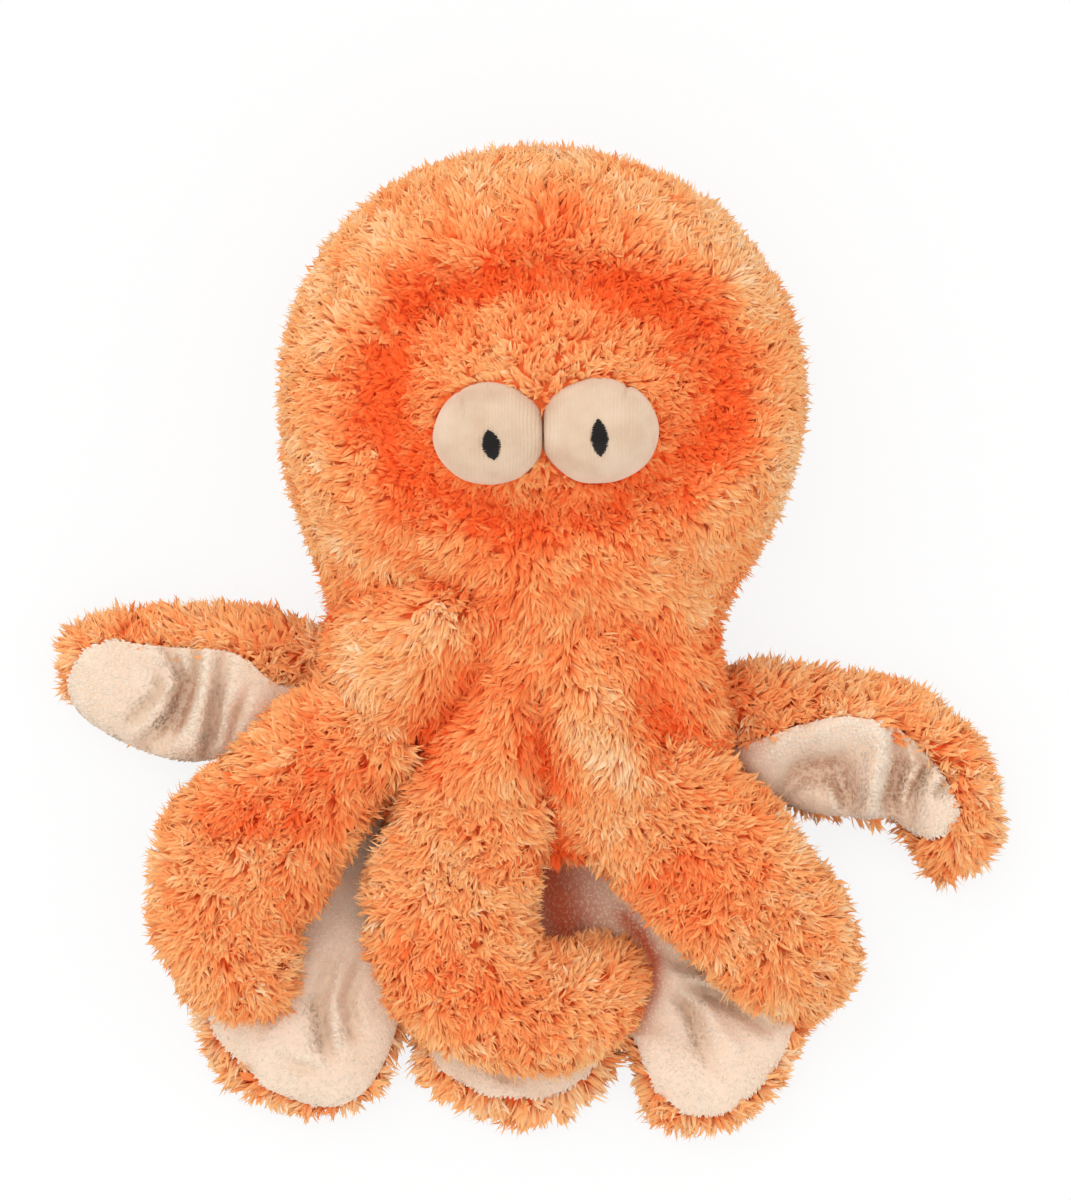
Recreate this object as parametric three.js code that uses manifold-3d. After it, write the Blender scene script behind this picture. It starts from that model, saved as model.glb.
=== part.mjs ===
// Plush octopus lying on its back with its face up, in millimetres.
// Seen from above, +X is to the right and +Y points to the top of the head; +Z is up from the floor.
import * as THREE from "three";
import { mergeVertices } from "three/addons/utils/BufferGeometryUtils.js";
import Module from "manifold-3d";

const wasm = await Module();
wasm.setup();

// Cloths and sewing
const PILE = 6; // shaggy fur together with its backing
const LINING = 2; // short-pile plush under the arms
const EYE_CLOTH = 1.2; // ribbed velour over the eyes
const SEWN_GAP = 0.3; // between pieces that are sewn or pressed together
const STUFFING_GAP = 1.8; // between the stuffing and its cloths
const FLAT_DEPTH = 0.5; // how far a resting side is pressed flat

// Body: a bag of two fur panels, wide at the head and narrower at the hub that carries the arms
const HEAD_RADIUS = 78; // the size that every share in plan follows
const HEAD_SEAM_HEIGHT = 43; // of the side seam above the floor
const HEAD_FRONT_RISE = 47; // of the face above the side seam
const HUB_SEAM_HEIGHT = 24;
const HUB_FRONT_RISE = 54;
const FACE_ASIDE_SHARE = 0.077; // of the face's middle from the hub's
const FACE_ABOVE_HUB_SHARE = 0.981;
const NECK_START_SHARE = 0.18; // above the hub's middle, where the hub begins to swell into the head
const NECK_LENGTH_SHARE = 0.564;
const FRONT_ROUNDNESS = 2.3; // exponents of the two domes
const BACK_ROUNDNESS = 7;
const OUTLINE_SHARES = [
  [0, 0.96], [13, 0.97], [25, 0.975], [37, 0.985], [50, 0.987], [64, 0.98], [77, 0.972], [90, 0.968],
  [103, 0.98], [116, 0.997], [130, 1.013], [142, 1.015], [155, 1.01], [168, 1], [180, 1], [190, 1.013],
  [200, 1.045], [210, 1.077], [219, 1.13], [226, 1.24], [231, 1.39], [237, 1.54], [246, 1.68],
  [256, 1.77], [268, 1.795], [280, 1.78], [290, 1.74], [297, 1.56], [302, 1.27], [308, 1.13],
  [317, 1.045], [330, 1], [345, 0.968],
]; // bearing from +X about the face's middle in degrees, and the outline's radius there
const FRONT_RING_SHARES = [0.2, 0.36, 0.49, 0.61, 0.74, 0.87, 0.95, 1];
const BACK_RING_SHARES = [0.6, 0.82, 0.94, 1];

// Face: a puffy rim round a sunken ring
const FACE_HALF_WIDTH = 49;
const FACE_HALF_HEIGHT = 34;
const GROOVE_DEPTH = 8;
const GROOVE_WIDTH = 11;

// Seams on the hub where the arms are sewn on: the way each faces and how far it is from the hub's middle
const SEAMS = {
  sideLeft: { bearing: 195, distanceShare: 0.738, asideShare: -0.256, halfSpanShare: 0.282 },
  frontLeft: { bearing: 209, distanceShare: 0.705, asideShare: 0, halfSpanShare: 0.9 },
  frontMiddle: { bearing: 253, distanceShare: 0.65, asideShare: 0, halfSpanShare: 0.9 },
  frontRight: { bearing: 308, distanceShare: 0.622, asideShare: 0, halfSpanShare: 0.9 },
  sideRight: { bearing: 355, distanceShare: 0.744, asideShare: -0.128, halfSpanShare: 0.218 },
};

// Arms. Headings are in degrees at even steps from the root to the tip; the other tables run the same way.
// Lining angles go round the section from the arm's left edge over its top.
const ARM_LENGTH_SHARE = 1.282; // of the head's radius
const ARM_HALF_WIDTH_SHARE = 0.3205;
const ARM_HALF_THICKNESS = 13.5;
const LAYER = 16; // how high the front arms lie over the back ones
const LINING_UP = [18, 162];
const LINING_DOWN = [200, 340];
const ARMS = [
  {
    name: "front_left", seam: "frontLeft", lining: LINING_DOWN, elbowShare: 0.56,
    asideShare: -0.176, lengthShare: 1.02, halfWidthShare: 1,
    headings: [209, 224, 228, 234, 260, 286, 296],
    widthShares: [0.8, 0.98, 1.02, 1, 0.94, 0.86, 0.7],
    thickShares: [1, 1.02, 1.02, 1, 0.96, 0.9, 0.8],
    liftShares: [1.06, 1.02, 1, 1.02, 1, 0.98, 0.94],
  },
  {
    name: "front_middle", seam: "frontMiddle", lining: LINING_DOWN, elbowShare: 0.36,
    asideShare: -0.068, lengthShare: 1.06, halfWidthShare: 1,
    headings: [253, 252, 279, 313, 352, 392, 425],
    widthShares: [0.94, 0.99, 0.98, 0.92, 0.8, 0.66, 0.52],
    thickShares: [1, 1, 1, 0.98, 0.92, 0.84, 0.7],
    liftShares: [1.06, 1.03, 1, 1, 0.95, 0.8, 0.6],
  },
  {
    name: "front_right", seam: "frontRight", lining: LINING_DOWN, elbowShare: 0,
    asideShare: 0.104, lengthShare: 0.92, halfWidthShare: 1.12,
    headings: [308, 314, 317, 317, 312, 304, 292],
    widthShares: [0.96, 1, 1, 0.97, 0.9, 0.78, 0.62],
    thickShares: [1, 1, 1, 0.98, 0.94, 0.88, 0.78],
    liftShares: [1.06, 1.1, 1.12, 1.1, 0.98, 0.72, 0.4],
  },
  {
    name: "side_left", seam: "sideLeft", lining: [4, 124], elbowShare: 0.6,
    asideShare: -0.75, lengthShare: 0.82, halfWidthShare: 0.88,
    headings: [192, 184, 194, 190, 177, 168, 164],
    widthShares: [0.34, 0.5, 0.72, 0.94, 1, 0.9, 0.66],
    thickShares: [0.86, 0.9, 0.94, 0.94, 0.9, 0.84, 0.76],
    liftShares: [0, 0, 0, 0, 0, 0, 0],
  },
  {
    name: "side_right", seam: "sideRight", lining: [52, 176], elbowShare: 0.58,
    asideShare: -0.182, lengthShare: 1, halfWidthShare: 0.88,
    headings: [355, 330, 342, 352, 332, 298, 264],
    widthShares: [0.42, 0.52, 0.86, 1.04, 0.94, 0.78, 0.6],
    thickShares: [0.86, 0.92, 1, 1, 0.92, 0.84, 0.76],
    liftShares: [0, 0, 0, 0, 0, 0, 0],
  },
  {
    name: "back_left", seam: "frontLeft", lining: LINING_UP, elbowShare: 0,
    asideShare: -0.016, lengthShare: 1.12, halfWidthShare: 0.96,
    headings: [209, 255, 270, 275, 263, 250, 258],
    widthShares: [0.42, 0.4, 0.36, 0.4, 0.8, 1.24, 1.16],
    thickShares: [0.54, 0.54, 0.54, 0.6, 0.72, 0.8, 0.7],
    liftShares: [0, 0, 0, 0, 0, 0, 0],
  },
  {
    name: "back_middle", seam: "frontMiddle", lining: LINING_UP, elbowShare: 0,
    asideShare: -0.024, lengthShare: 0.98, halfWidthShare: 1,
    headings: [253, 262, 274, 288, 298, 296, 280],
    widthShares: [0.56, 0.6, 0.7, 0.86, 1.06, 1.24, 1.1],
    thickShares: [0.54, 0.54, 0.54, 0.54, 0.54, 0.62, 0.7],
    liftShares: [0, 0, 0, 0, 0, 0, 0],
  },
  {
    name: "back_right", seam: "frontRight", lining: LINING_UP, elbowShare: 0,
    asideShare: -0.217, lengthShare: 1.14, halfWidthShare: 0.92,
    headings: [308, 296, 291, 288, 280, 268, 258],
    widthShares: [0.6, 0.64, 0.66, 0.8, 1, 1.12, 0.9],
    thickShares: [0.54, 0.54, 0.54, 0.54, 0.64, 0.8, 0.72],
    liftShares: [0, 0, 0, 0, 0, 0, 0],
  },
];
const SECTION_SQUARENESS_SHARE = 0.86; // exponent of an arm's section, 1 for an ellipse
const TIP_ANGLES = [28, 52, 72, 84]; // round the end of an arm
const TIP_THIN_SHARE = 0.45; // power that thins an arm towards its end
const LONG_STEPS = 6; // stations along an arm before its rounded end
const FUR_POINTS = 6; // round a cloth, from seam to seam
const LINING_POINTS = 4;
const LEAST_SIZE_SHARE = 0.3; // of a section that its cloth would otherwise fill

// Eyes: two balls pressed together, each with a sewn pupil
const EYE_RADIUS = 18;
const EYE_SINK = 6; // of their middles below the front of the face
const EYE_MEET_ASIDE_SHARE = -0.027; // where they meet, of the head's radius from the face's middle
const PUPIL_THICKNESS = 0.8;
const EYES = [
  {
    side: "left", asideShare: -0.911, forwardShare: -0.138, halfWidthShare: 1.022, halfHeightShare: 0.85, riseShare: 0.861,
    pupilAsideShare: 0.039, pupilForwardShare: -0.15, pupilHalfWidthShare: 0.15, pupilHalfHeightShare: 0.244, pupilLean: 12,
  },
  {
    side: "right", asideShare: 0.933, forwardShare: -0.124, halfWidthShare: 1.067, halfHeightShare: 0.878, riseShare: 0.917,
    pupilAsideShare: 0, pupilForwardShare: -0.056, pupilHalfWidthShare: 0.144, pupilHalfHeightShare: 0.3, pupilLean: 4,
  },
]; // places forward are of the head's radius, all other shares of the eye's
const EYE_STEPS = 12; // round an eye
const PUPIL_POINTS = 4; // along each side of a pupil

// Colours
const FUR_COLOUR = 0xf58a4b;
const LINING_COLOUR = 0xefd9bd;
const EYE_COLOUR = 0xe8d2b9;
const PUPIL_COLOUR = 0x17150f;
const STUFFING_COLOUR = 0xf4f2ee;

// Points and angles

function radians(degrees) {
  return (degrees * Math.PI) / 180;
}

function bearingPoint(bearing, distance, height = 0) {
  return new THREE.Vector3(Math.cos(radians(bearing)) * distance, Math.sin(radians(bearing)) * distance, height);
}

function smoothRise(value) {
  const t = Math.min(Math.max(value, 0), 1);
  return t * t * (3 - 2 * t);
}

// A smooth curve through a table of evenly spaced values
function sample(table, share) {
  const place = share * (table.length - 1);
  const i = Math.min(Math.floor(place), table.length - 2);
  const t = place - i;
  const [a, b] = [table[i], table[i + 1]];
  const slopeA = (b - table[Math.max(i - 1, 0)]) / 2;
  const slopeB = (table[Math.min(i + 2, table.length - 1)] - a) / 2;
  const cubic = 2 * (a - b) + slopeA + slopeB;
  const square = 3 * (b - a) - 2 * slopeA - slopeB;
  return ((cubic * t + square) * t + slopeA) * t + a;
}

// Closed meshes

function geometryFrom(points, triangles) {
  const geometry = new THREE.BufferGeometry();
  geometry.setAttribute("position", new THREE.Float32BufferAttribute(points.flatMap((p) => p.toArray()), 3));
  let volume = 0;
  const corner = new THREE.Vector3();
  for (const [a, b, c] of triangles) {
    volume += points[a].dot(corner.crossVectors(points[b], points[c]));
  }
  geometry.setIndex(triangles.flatMap(([a, b, c]) => (volume > 0 ? [a, b, c] : [a, c, b])));
  return geometry;
}

function ringBands(ringCount, size) {
  const triangles = [];
  for (let ring = 0; ring < ringCount - 1; ring += 1) {
    for (let j = 0; j < size; j += 1) {
      const a = ring * size + j;
      const b = ring * size + ((j + 1) % size);
      triangles.push([a, b, b + size], [a, b + size, a + size]);
    }
  }
  return triangles;
}

// A closed form through rings of points, with a strip across each end
function sweep(rings) {
  const size = rings[0].length;
  const triangles = ringBands(rings.length, size);
  const last = (rings.length - 1) * size;
  for (let j = 0; j < size / 2 - 1; j += 1) {
    const [a, b, c, d] = [j, j + 1, size - 2 - j, size - 1 - j];
    triangles.push([a, c, b], [a, d, c], [last + a, last + b, last + c], [last + a, last + c, last + d]);
  }
  return geometryFrom(rings.flat(), triangles);
}

// A closed form through rings of points between two single points
function loft(first, rings, last) {
  const size = rings[0].length;
  const points = [...rings.flat(), first, last];
  const triangles = ringBands(rings.length, size);
  const end = (rings.length - 1) * size;
  for (let j = 0; j < size; j += 1) {
    const next = (j + 1) % size;
    triangles.push([next, j, points.length - 2], [end + j, end + next, points.length - 1]);
  }
  return geometryFrom(points, triangles);
}

function solidFrom(source) {
  const plain = source.clone();
  plain.deleteAttribute("normal");
  plain.deleteAttribute("uv");
  const merged = mergeVertices(plain);
  const mesh = new wasm.Mesh({
    numProp: 3,
    vertProperties: new Float32Array(merged.attributes.position.array),
    triVerts: new Uint32Array(merged.index.array),
  });
  return new wasm.Manifold(mesh);
}

function geometryOf(solid) {
  const mesh = solid.getMesh();
  const geometry = new THREE.BufferGeometry();
  geometry.setAttribute("position", new THREE.BufferAttribute(mesh.vertProperties, 3));
  geometry.setIndex(new THREE.BufferAttribute(mesh.triVerts, 1));
  return geometry;
}

// Body

// The hub's middle is at zero until the whole toy is moved at the end
const face = new THREE.Vector3(FACE_ASIDE_SHARE, FACE_ABOVE_HUB_SHARE, 0).multiplyScalar(HEAD_RADIUS);

// 0 at the hub, 1 at the head
function headness(forward) {
  return smoothRise((forward / HEAD_RADIUS - NECK_START_SHARE) / NECK_LENGTH_SHARE);
}

function seamHeight(forward) {
  return HUB_SEAM_HEIGHT + (HEAD_SEAM_HEIGHT - HUB_SEAM_HEIGHT) * headness(forward);
}

function grooveDepth(point) {
  const across = (point.x - face.x) / FACE_HALF_WIDTH;
  const along = (point.y - face.y) / FACE_HALF_HEIGHT;
  const size = (FACE_HALF_WIDTH + FACE_HALF_HEIGHT) / 2;
  const fromGroove = (Math.hypot(across, along) - 1) * size;
  return GROOVE_DEPTH * Math.exp(-((fromGroove / GROOVE_WIDTH) ** 2));
}

function dome(share, roundness) {
  return (1 - share ** roundness) ** (1 / roundness);
}

// Rings are round near the middle and take the outline's form towards the side seam
function bodyPoint([bearing, radiusShare], share, inset, isFront, lift) {
  const radius = share * (HEAD_RADIUS * (1 + (radiusShare - 1) * share ** 3) - inset);
  const point = bearingPoint(bearing, radius).add(face);
  const seam = seamHeight(point.y);
  if (isFront) {
    const rise = HUB_FRONT_RISE + (HEAD_FRONT_RISE - HUB_FRONT_RISE) * headness(point.y) - inset;
    const height = rise * dome(share, FRONT_ROUNDNESS);
    point.z = seam + Math.max(height - grooveDepth(point) * smoothRise(height / GROOVE_DEPTH), 0) + lift;
  } else {
    point.z = Math.max(seam - (seam + FLAT_DEPTH - inset) * dome(share, BACK_ROUNDNESS) + lift, 0);
  }
  return point;
}

function bodyRings(inset, isFront, lift = 0) {
  const shares = isFront ? FRONT_RING_SHARES : BACK_RING_SHARES;
  return shares.map((share) => OUTLINE_SHARES.map((entry) => bodyPoint(entry, share, inset, isFront, lift)));
}

function bodyMiddle(inset, isFront, lift = 0) {
  return bodyPoint(OUTLINE_SHARES[0], 0, inset, isFront, lift);
}

// One fur panel: its outside, then its inside
function panelSolid(isFront) {
  const lift = isFront ? SEWN_GAP / 2 : -SEWN_GAP / 2;
  const rings = [...bodyRings(0, isFront, lift), ...bodyRings(PILE, isFront, lift).reverse()];
  return solidFrom(loft(bodyMiddle(0, isFront, lift), rings, bodyMiddle(PILE, isFront, lift)));
}

function bodySolid(inset) {
  const rings = [...bodyRings(inset, true), ...bodyRings(inset, false).reverse().slice(1)];
  return solidFrom(loft(bodyMiddle(inset, true), rings, bodyMiddle(inset, false)));
}

// Everything beyond the given seams, as far as the body reaches
function beyondSeams(seams, inset) {
  const size = HEAD_RADIUS * 2;
  const boxes = seams.map(({ bearing, distanceShare, asideShare, halfSpanShare }) => {
    const box = new THREE.BoxGeometry(size, halfSpanShare * size, size * 2);
    box.rotateZ(radians(bearing));
    const middle = bearingPoint(bearing, HEAD_RADIUS * distanceShare - inset + size / 2);
    middle.add(bearingPoint(bearing + 90, HEAD_RADIUS * asideShare));
    box.translate(middle.x, middle.y, middle.z);
    return solidFrom(box);
  });
  return boxes.reduce((all, box) => all.add(box));
}

const allSeams = Object.values(SEAMS);
const baseSeams = [SEAMS.frontLeft, SEAMS.frontMiddle, SEAMS.frontRight];

function bodyPieces() {
  const cut = beyondSeams(allSeams, 0);
  const inside = bodySolid(PILE + STUFFING_GAP);
  const base = inside.intersect(beyondSeams(baseSeams, LINING)).subtract(cut);
  const stuffing = inside.subtract(beyondSeams(allSeams, LINING + SEWN_GAP));
  return [
    ["head_front_panel", geometryOf(panelSolid(true).subtract(cut)), "fur"],
    ["head_back_panel", geometryOf(panelSolid(false).subtract(cut)), "fur"],
    ["base_panel", geometryOf(base), "lining"],
    ["head_stuffing", geometryOf(stuffing), "stuffing"],
  ];
}

// Eyes

const eyeMeeting = face.x + HEAD_RADIUS * EYE_MEET_ASIDE_SHARE;

function eyeMiddle(eye) {
  const height = HEAD_SEAM_HEIGHT + HEAD_FRONT_RISE - EYE_SINK;
  return new THREE.Vector3(eyeMeeting + EYE_RADIUS * eye.asideShare, face.y + HEAD_RADIUS * eye.forwardShare, height);
}

function eyeball(eye, inset) {
  const [across, along, up] = [eye.halfWidthShare, eye.halfHeightShare, eye.riseShare];
  const radius = EYE_RADIUS * up - inset;
  const ball = new THREE.SphereGeometry(radius, EYE_STEPS, EYE_STEPS / 2);
  ball.rotateX(Math.PI / 2);
  ball.scale((EYE_RADIUS * across - inset) / radius, (EYE_RADIUS * along - inset) / radius, 1);
  ball.translate(...eyeMiddle(eye).toArray());
  return solidFrom(ball);
}

// The side of the meeting plane that belongs to the other eye
function otherSide(eye, inset) {
  const size = HEAD_RADIUS;
  const way = eye.side === "left" ? 1 : -1;
  const box = new THREE.BoxGeometry(size, size, size);
  const middle = eyeMiddle(eye);
  box.translate(eyeMeeting + way * (size / 2 - inset), middle.y, middle.z);
  return solidFrom(box);
}

function pupilPrism(eye) {
  const outline = new THREE.Shape();
  for (let i = 0; i < PUPIL_POINTS * 2; i += 1) {
    const angle = (i * Math.PI) / PUPIL_POINTS;
    const across = Math.cos(angle) * EYE_RADIUS * eye.pupilHalfWidthShare;
    const along = Math.sin(angle) * EYE_RADIUS * eye.pupilHalfHeightShare;
    outline[i === 0 ? "moveTo" : "lineTo"](across, along);
  }
  const prism = new THREE.ExtrudeGeometry(outline, { depth: EYE_RADIUS * 2, bevelEnabled: false });
  prism.rotateZ(radians(eye.pupilLean));
  const place = new THREE.Vector3(eye.pupilAsideShare, eye.pupilForwardShare, 0).multiplyScalar(EYE_RADIUS);
  prism.translate(...place.add(eyeMiddle(eye)).toArray());
  return solidFrom(prism);
}

function eyePieces(eye, headSolid) {
  const away = headSolid.add(otherSide(eye, SEWN_GAP / 2));
  const awayInside = headSolid.add(otherSide(eye, SEWN_GAP / 2 + EYE_CLOTH + SEWN_GAP));
  const ball = eyeball(eye, 0);
  const hollow = eyeball(eye, EYE_CLOTH).subtract(otherSide(eye, SEWN_GAP / 2 + EYE_CLOTH));
  const patch = eyeball(eye, -SEWN_GAP - PUPIL_THICKNESS).subtract(eyeball(eye, -SEWN_GAP));
  return [
    [`${eye.side}_eye_cover`, geometryOf(ball.subtract(hollow).subtract(away)), "eye"],
    [`${eye.side}_eye_stuffing`, geometryOf(eyeball(eye, EYE_CLOTH + SEWN_GAP).subtract(awayInside)), "stuffing"],
    [`${eye.side}_pupil`, geometryOf(patch.intersect(pupilPrism(eye))), "pupil"],
  ];
}

// Arms

function armHalfWidth(arm) {
  return HEAD_RADIUS * ARM_HALF_WIDTH_SHARE * arm.halfWidthShare;
}

function armLength(arm) {
  return HEAD_RADIUS * ARM_LENGTH_SHARE * arm.lengthShare;
}

// Where along an arm its sections lie, as distances from the root, with how much the end has closed there
function stationPlaces(arm) {
  const tip = armHalfWidth(arm) * arm.widthShares.at(-1);
  const straight = armLength(arm) - tip;
  const places = [];
  for (let i = 0; i <= LONG_STEPS; i += 1) {
    places.push({ distance: (straight * i) / LONG_STEPS, closing: 1, isEnd: false });
  }
  for (const angle of TIP_ANGLES) {
    places.push({
      distance: straight + tip * Math.sin(radians(angle)),
      closing: Math.cos(radians(angle)),
      isEnd: angle > TIP_ANGLES[1],
    });
  }
  return places;
}

function placeAlong(arm, distance) {
  const seam = SEAMS[arm.seam];
  const point = bearingPoint(seam.bearing, HEAD_RADIUS * seam.distanceShare + SEWN_GAP);
  point.add(bearingPoint(seam.bearing + 90, armHalfWidth(arm) * arm.asideShare));
  const steps = LONG_STEPS * 6;
  const step = distance / steps;
  for (let i = 0; i < steps; i += 1) {
    const heading = sample(arm.headings, ((i + 1 / 2) * step) / armLength(arm));
    point.add(bearingPoint(heading, step));
  }
  return point;
}

function stationAt(arm, { distance, closing, isEnd }) {
  const share = distance / armLength(arm);
  const halfHeight = ARM_HALF_THICKNESS * sample(arm.thickShares, share) * closing ** TIP_THIN_SHARE;
  const seat = arm.lining === LINING_DOWN ? PILE - LINING : 0; // the lining lies deeper than the fur's tips
  return {
    distance,
    isEnd,
    point: placeAlong(arm, distance),
    heading: sample(arm.headings, share),
    halfWidth: armHalfWidth(arm) * sample(arm.widthShares, share) * closing,
    halfHeight,
    middle: LAYER * sample(arm.liftShares, share) + halfHeight - FLAT_DEPTH - seat,
  };
}

function rounded(value) {
  return Math.sign(value) * Math.abs(value) ** SECTION_SQUARENESS_SHARE;
}

// What is inside the cloths stays clear of them where they are at their least size too
function insetSize(size, inset) {
  const clearance = Math.max(inset - PILE, 0);
  return Math.max(size - inset, size * LEAST_SIZE_SHARE - clearance);
}

function sectionPoint(station, inset, degrees) {
  const aside = insetSize(station.halfWidth, inset) * rounded(Math.cos(radians(degrees)));
  const up = insetSize(station.halfHeight, inset) * rounded(Math.sin(radians(degrees)));
  const point = bearingPoint(station.heading + 90, aside).add(station.point);
  point.z = Math.max(station.middle + up, 0);
  return point;
}

function arc(station, inset, from, to, count) {
  const points = [];
  for (let j = 0; j < count; j += 1) {
    points.push(sectionPoint(station, inset, from + ((to - from) * j) / (count - 1)));
  }
  return points;
}

// The sewn gap as an angle at a section's edge
function seamAngle(station) {
  return ((SEWN_GAP / Math.min(station.halfWidth, station.halfHeight)) * 180) / Math.PI;
}

// Fur from one edge of the lining round to the other, solid at the very end of the arm
function furRing(station, [liningFrom, liningTo]) {
  const gap = seamAngle(station);
  const outside = arc(station, 0, liningTo + gap, liningFrom + 360 - gap, FUR_POINTS);
  const inside = arc(station, PILE, liningTo + gap, liningFrom + 360 - gap, FUR_POINTS);
  if (station.isEnd) {
    const [start, end] = [outside[0], outside.at(-1)];
    inside.forEach((point, j) => point.lerpVectors(start, end, (j + 1) / (FUR_POINTS + 1)));
  }
  return [...outside, ...inside.reverse()];
}

function liningRing(station, [from, to]) {
  const gap = seamAngle(station);
  const outside = arc(station, PILE - LINING, from + gap, to - gap, LINING_POINTS);
  const inside = arc(station, PILE, from + gap, to - gap, LINING_POINTS);
  return [...outside, ...inside.reverse()];
}

// Its corners lie against the corners of the two cloths
function stuffingRing(station, [from, to]) {
  const gap = seamAngle(station);
  const underLining = arc(station, PILE + STUFFING_GAP, from + gap, to - gap, LINING_POINTS);
  const underFur = arc(station, PILE + STUFFING_GAP, to + gap, from + 360 - gap, FUR_POINTS);
  return [...underLining, ...underFur];
}

function armSegment(arm, name, stations) {
  const soft = stations.filter((station) => !station.isEnd);
  return [
    [`${name}_fur`, sweep(stations.map((station) => furRing(station, arm.lining))), "fur"],
    [`${name}_lining`, sweep(soft.map((station) => liningRing(station, arm.lining))), "lining"],
    [`${name}_stuffing`, sweep(soft.map((station) => stuffingRing(station, arm.lining))), "stuffing"],
  ];
}

// The hinge lies on the top of the section, across the arm
function hingeAt(name, station, heading) {
  const position = station.point.clone();
  position.z = station.middle + station.halfHeight;
  return { name, position, axis: bearingPoint(heading - 90, 1) };
}

function armPieces(arm) {
  const places = stationPlaces(arm);
  const root = stationAt(arm, places[0]);
  const hinges = [hingeAt(`${arm.name}_arm_lift`, root, SEAMS[arm.seam].bearing)];
  if (!arm.elbowShare) {
    const stations = places.map((place) => stationAt(arm, place));
    return { pieces: armSegment(arm, `${arm.name}_arm`, stations), hinges };
  }
  const bend = armLength(arm) * arm.elbowShare;
  const plain = { closing: 1, isEnd: false };
  const before = places.filter(({ distance }) => distance < bend - SEWN_GAP);
  const after = places.filter(({ distance }) => distance > bend + SEWN_GAP);
  before.push({ distance: bend - SEWN_GAP / 2, ...plain });
  after.unshift({ distance: bend + SEWN_GAP / 2, ...plain });
  const elbow = stationAt(arm, { distance: bend, ...plain });
  hinges.push(hingeAt(`${arm.name}_arm_bend`, elbow, elbow.heading));
  return {
    pieces: [
      ...armSegment(arm, `${arm.name}_arm`, before.map((place) => stationAt(arm, place))),
      ...armSegment(arm, `${arm.name}_tip`, after.map((place) => stationAt(arm, place))),
    ],
    hinges,
  };
}

// Assembly

const FINISHES = {
  fur: { color: FUR_COLOUR, roughness: 0.95, metalness: 0 },
  lining: { color: LINING_COLOUR, roughness: 0.9, metalness: 0 },
  eye: { color: EYE_COLOUR, roughness: 0.85, metalness: 0 },
  pupil: { color: PUPIL_COLOUR, roughness: 0.7, metalness: 0 },
  stuffing: { color: STUFFING_COLOUR, roughness: 1, metalness: 0 },
};

const arms = ARMS.map(armPieces);
const headSolid = bodySolid(-SEWN_GAP);
const pieces = [
  ...bodyPieces(),
  ...EYES.flatMap((eye) => eyePieces(eye, headSolid)),
  ...arms.flatMap((arm) => arm.pieces),
];

const octopus = new THREE.Group();
for (const [name, geometry, finish] of pieces) {
  const mesh = new THREE.Mesh(geometry, new THREE.MeshStandardMaterial(FINISHES[finish]));
  mesh.name = name;
  octopus.add(mesh);
}

// The origin is on the floor, under the middle of the whole toy
const wholeBox = new THREE.Box3().setFromObject(octopus);
const middle = wholeBox.getCenter(new THREE.Vector3());
octopus.position.set(-middle.x, -middle.y, -wholeBox.min.z);
octopus.userData.hinges = arms.flatMap((arm) => arm.hinges);
for (const hinge of octopus.userData.hinges) {
  hinge.position.add(octopus.position);
}

export default octopus;
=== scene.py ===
import bpy
import numpy as np
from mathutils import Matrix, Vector


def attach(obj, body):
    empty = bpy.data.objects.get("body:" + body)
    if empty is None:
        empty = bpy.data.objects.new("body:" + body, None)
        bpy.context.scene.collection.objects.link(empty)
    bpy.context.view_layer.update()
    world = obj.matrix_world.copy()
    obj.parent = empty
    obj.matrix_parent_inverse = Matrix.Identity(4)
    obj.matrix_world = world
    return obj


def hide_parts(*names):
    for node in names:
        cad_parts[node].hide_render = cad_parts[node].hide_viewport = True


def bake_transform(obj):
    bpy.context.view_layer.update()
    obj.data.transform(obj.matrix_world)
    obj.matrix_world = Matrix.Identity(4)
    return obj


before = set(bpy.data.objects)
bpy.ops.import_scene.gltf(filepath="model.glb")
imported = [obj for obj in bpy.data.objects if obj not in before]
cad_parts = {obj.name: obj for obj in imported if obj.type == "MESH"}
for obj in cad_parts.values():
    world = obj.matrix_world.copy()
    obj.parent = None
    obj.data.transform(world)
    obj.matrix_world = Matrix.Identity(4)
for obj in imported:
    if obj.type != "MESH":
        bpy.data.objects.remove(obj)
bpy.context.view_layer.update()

# Lengths are in millimetres from the hub's middle, as in the CAD, until a mesh is written.
SHIFT = np.array([-3.8327, -1.3153, 0.0])  # from the hub's middle to the frame's origin
PHOTO_SCALE = 0.3  # millimetres in a pixel of the photograph


def photo(u, v):
    """The place under a pixel of the photograph."""
    return (u - 535) * PHOTO_SCALE + 1.5, (642 - v) * PHOTO_SCALE + 3.9


def metres(points):
    return (np.asarray(points, float) + SHIFT) * 0.001


# Small functions

def smooth(value):
    t = np.clip(value, 0, 1)
    return t * t * (3 - 2 * t)


def sample(table, share):
    """A smooth curve through a table of evenly spaced values, as in the CAD."""
    table = np.asarray(table, float)
    place = np.clip(share, 0, 1) * (len(table) - 1)
    i = np.minimum(place.astype(int), len(table) - 2)
    t = place - i
    a, b = table[i], table[i + 1]
    slope_a = (b - table[np.maximum(i - 1, 0)]) / 2
    slope_b = (table[np.minimum(i + 2, len(table) - 1)] - a) / 2
    cubic = 2 * (a - b) + slope_a + slope_b
    square = 3 * (b - a) - 2 * slope_a - slope_b
    return ((cubic * t + square) * t + slope_a) * t + a


def lifted(place, height):
    """Places in plan with their heights."""
    return np.concatenate([place, height[..., None]], axis=-1)


def unit(vectors):
    return vectors / np.maximum(np.linalg.norm(vectors, axis=-1, keepdims=True), 1e-9)


def bearing(degrees):
    return np.stack([np.cos(np.radians(degrees)), np.sin(np.radians(degrees))], axis=-1)


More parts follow.
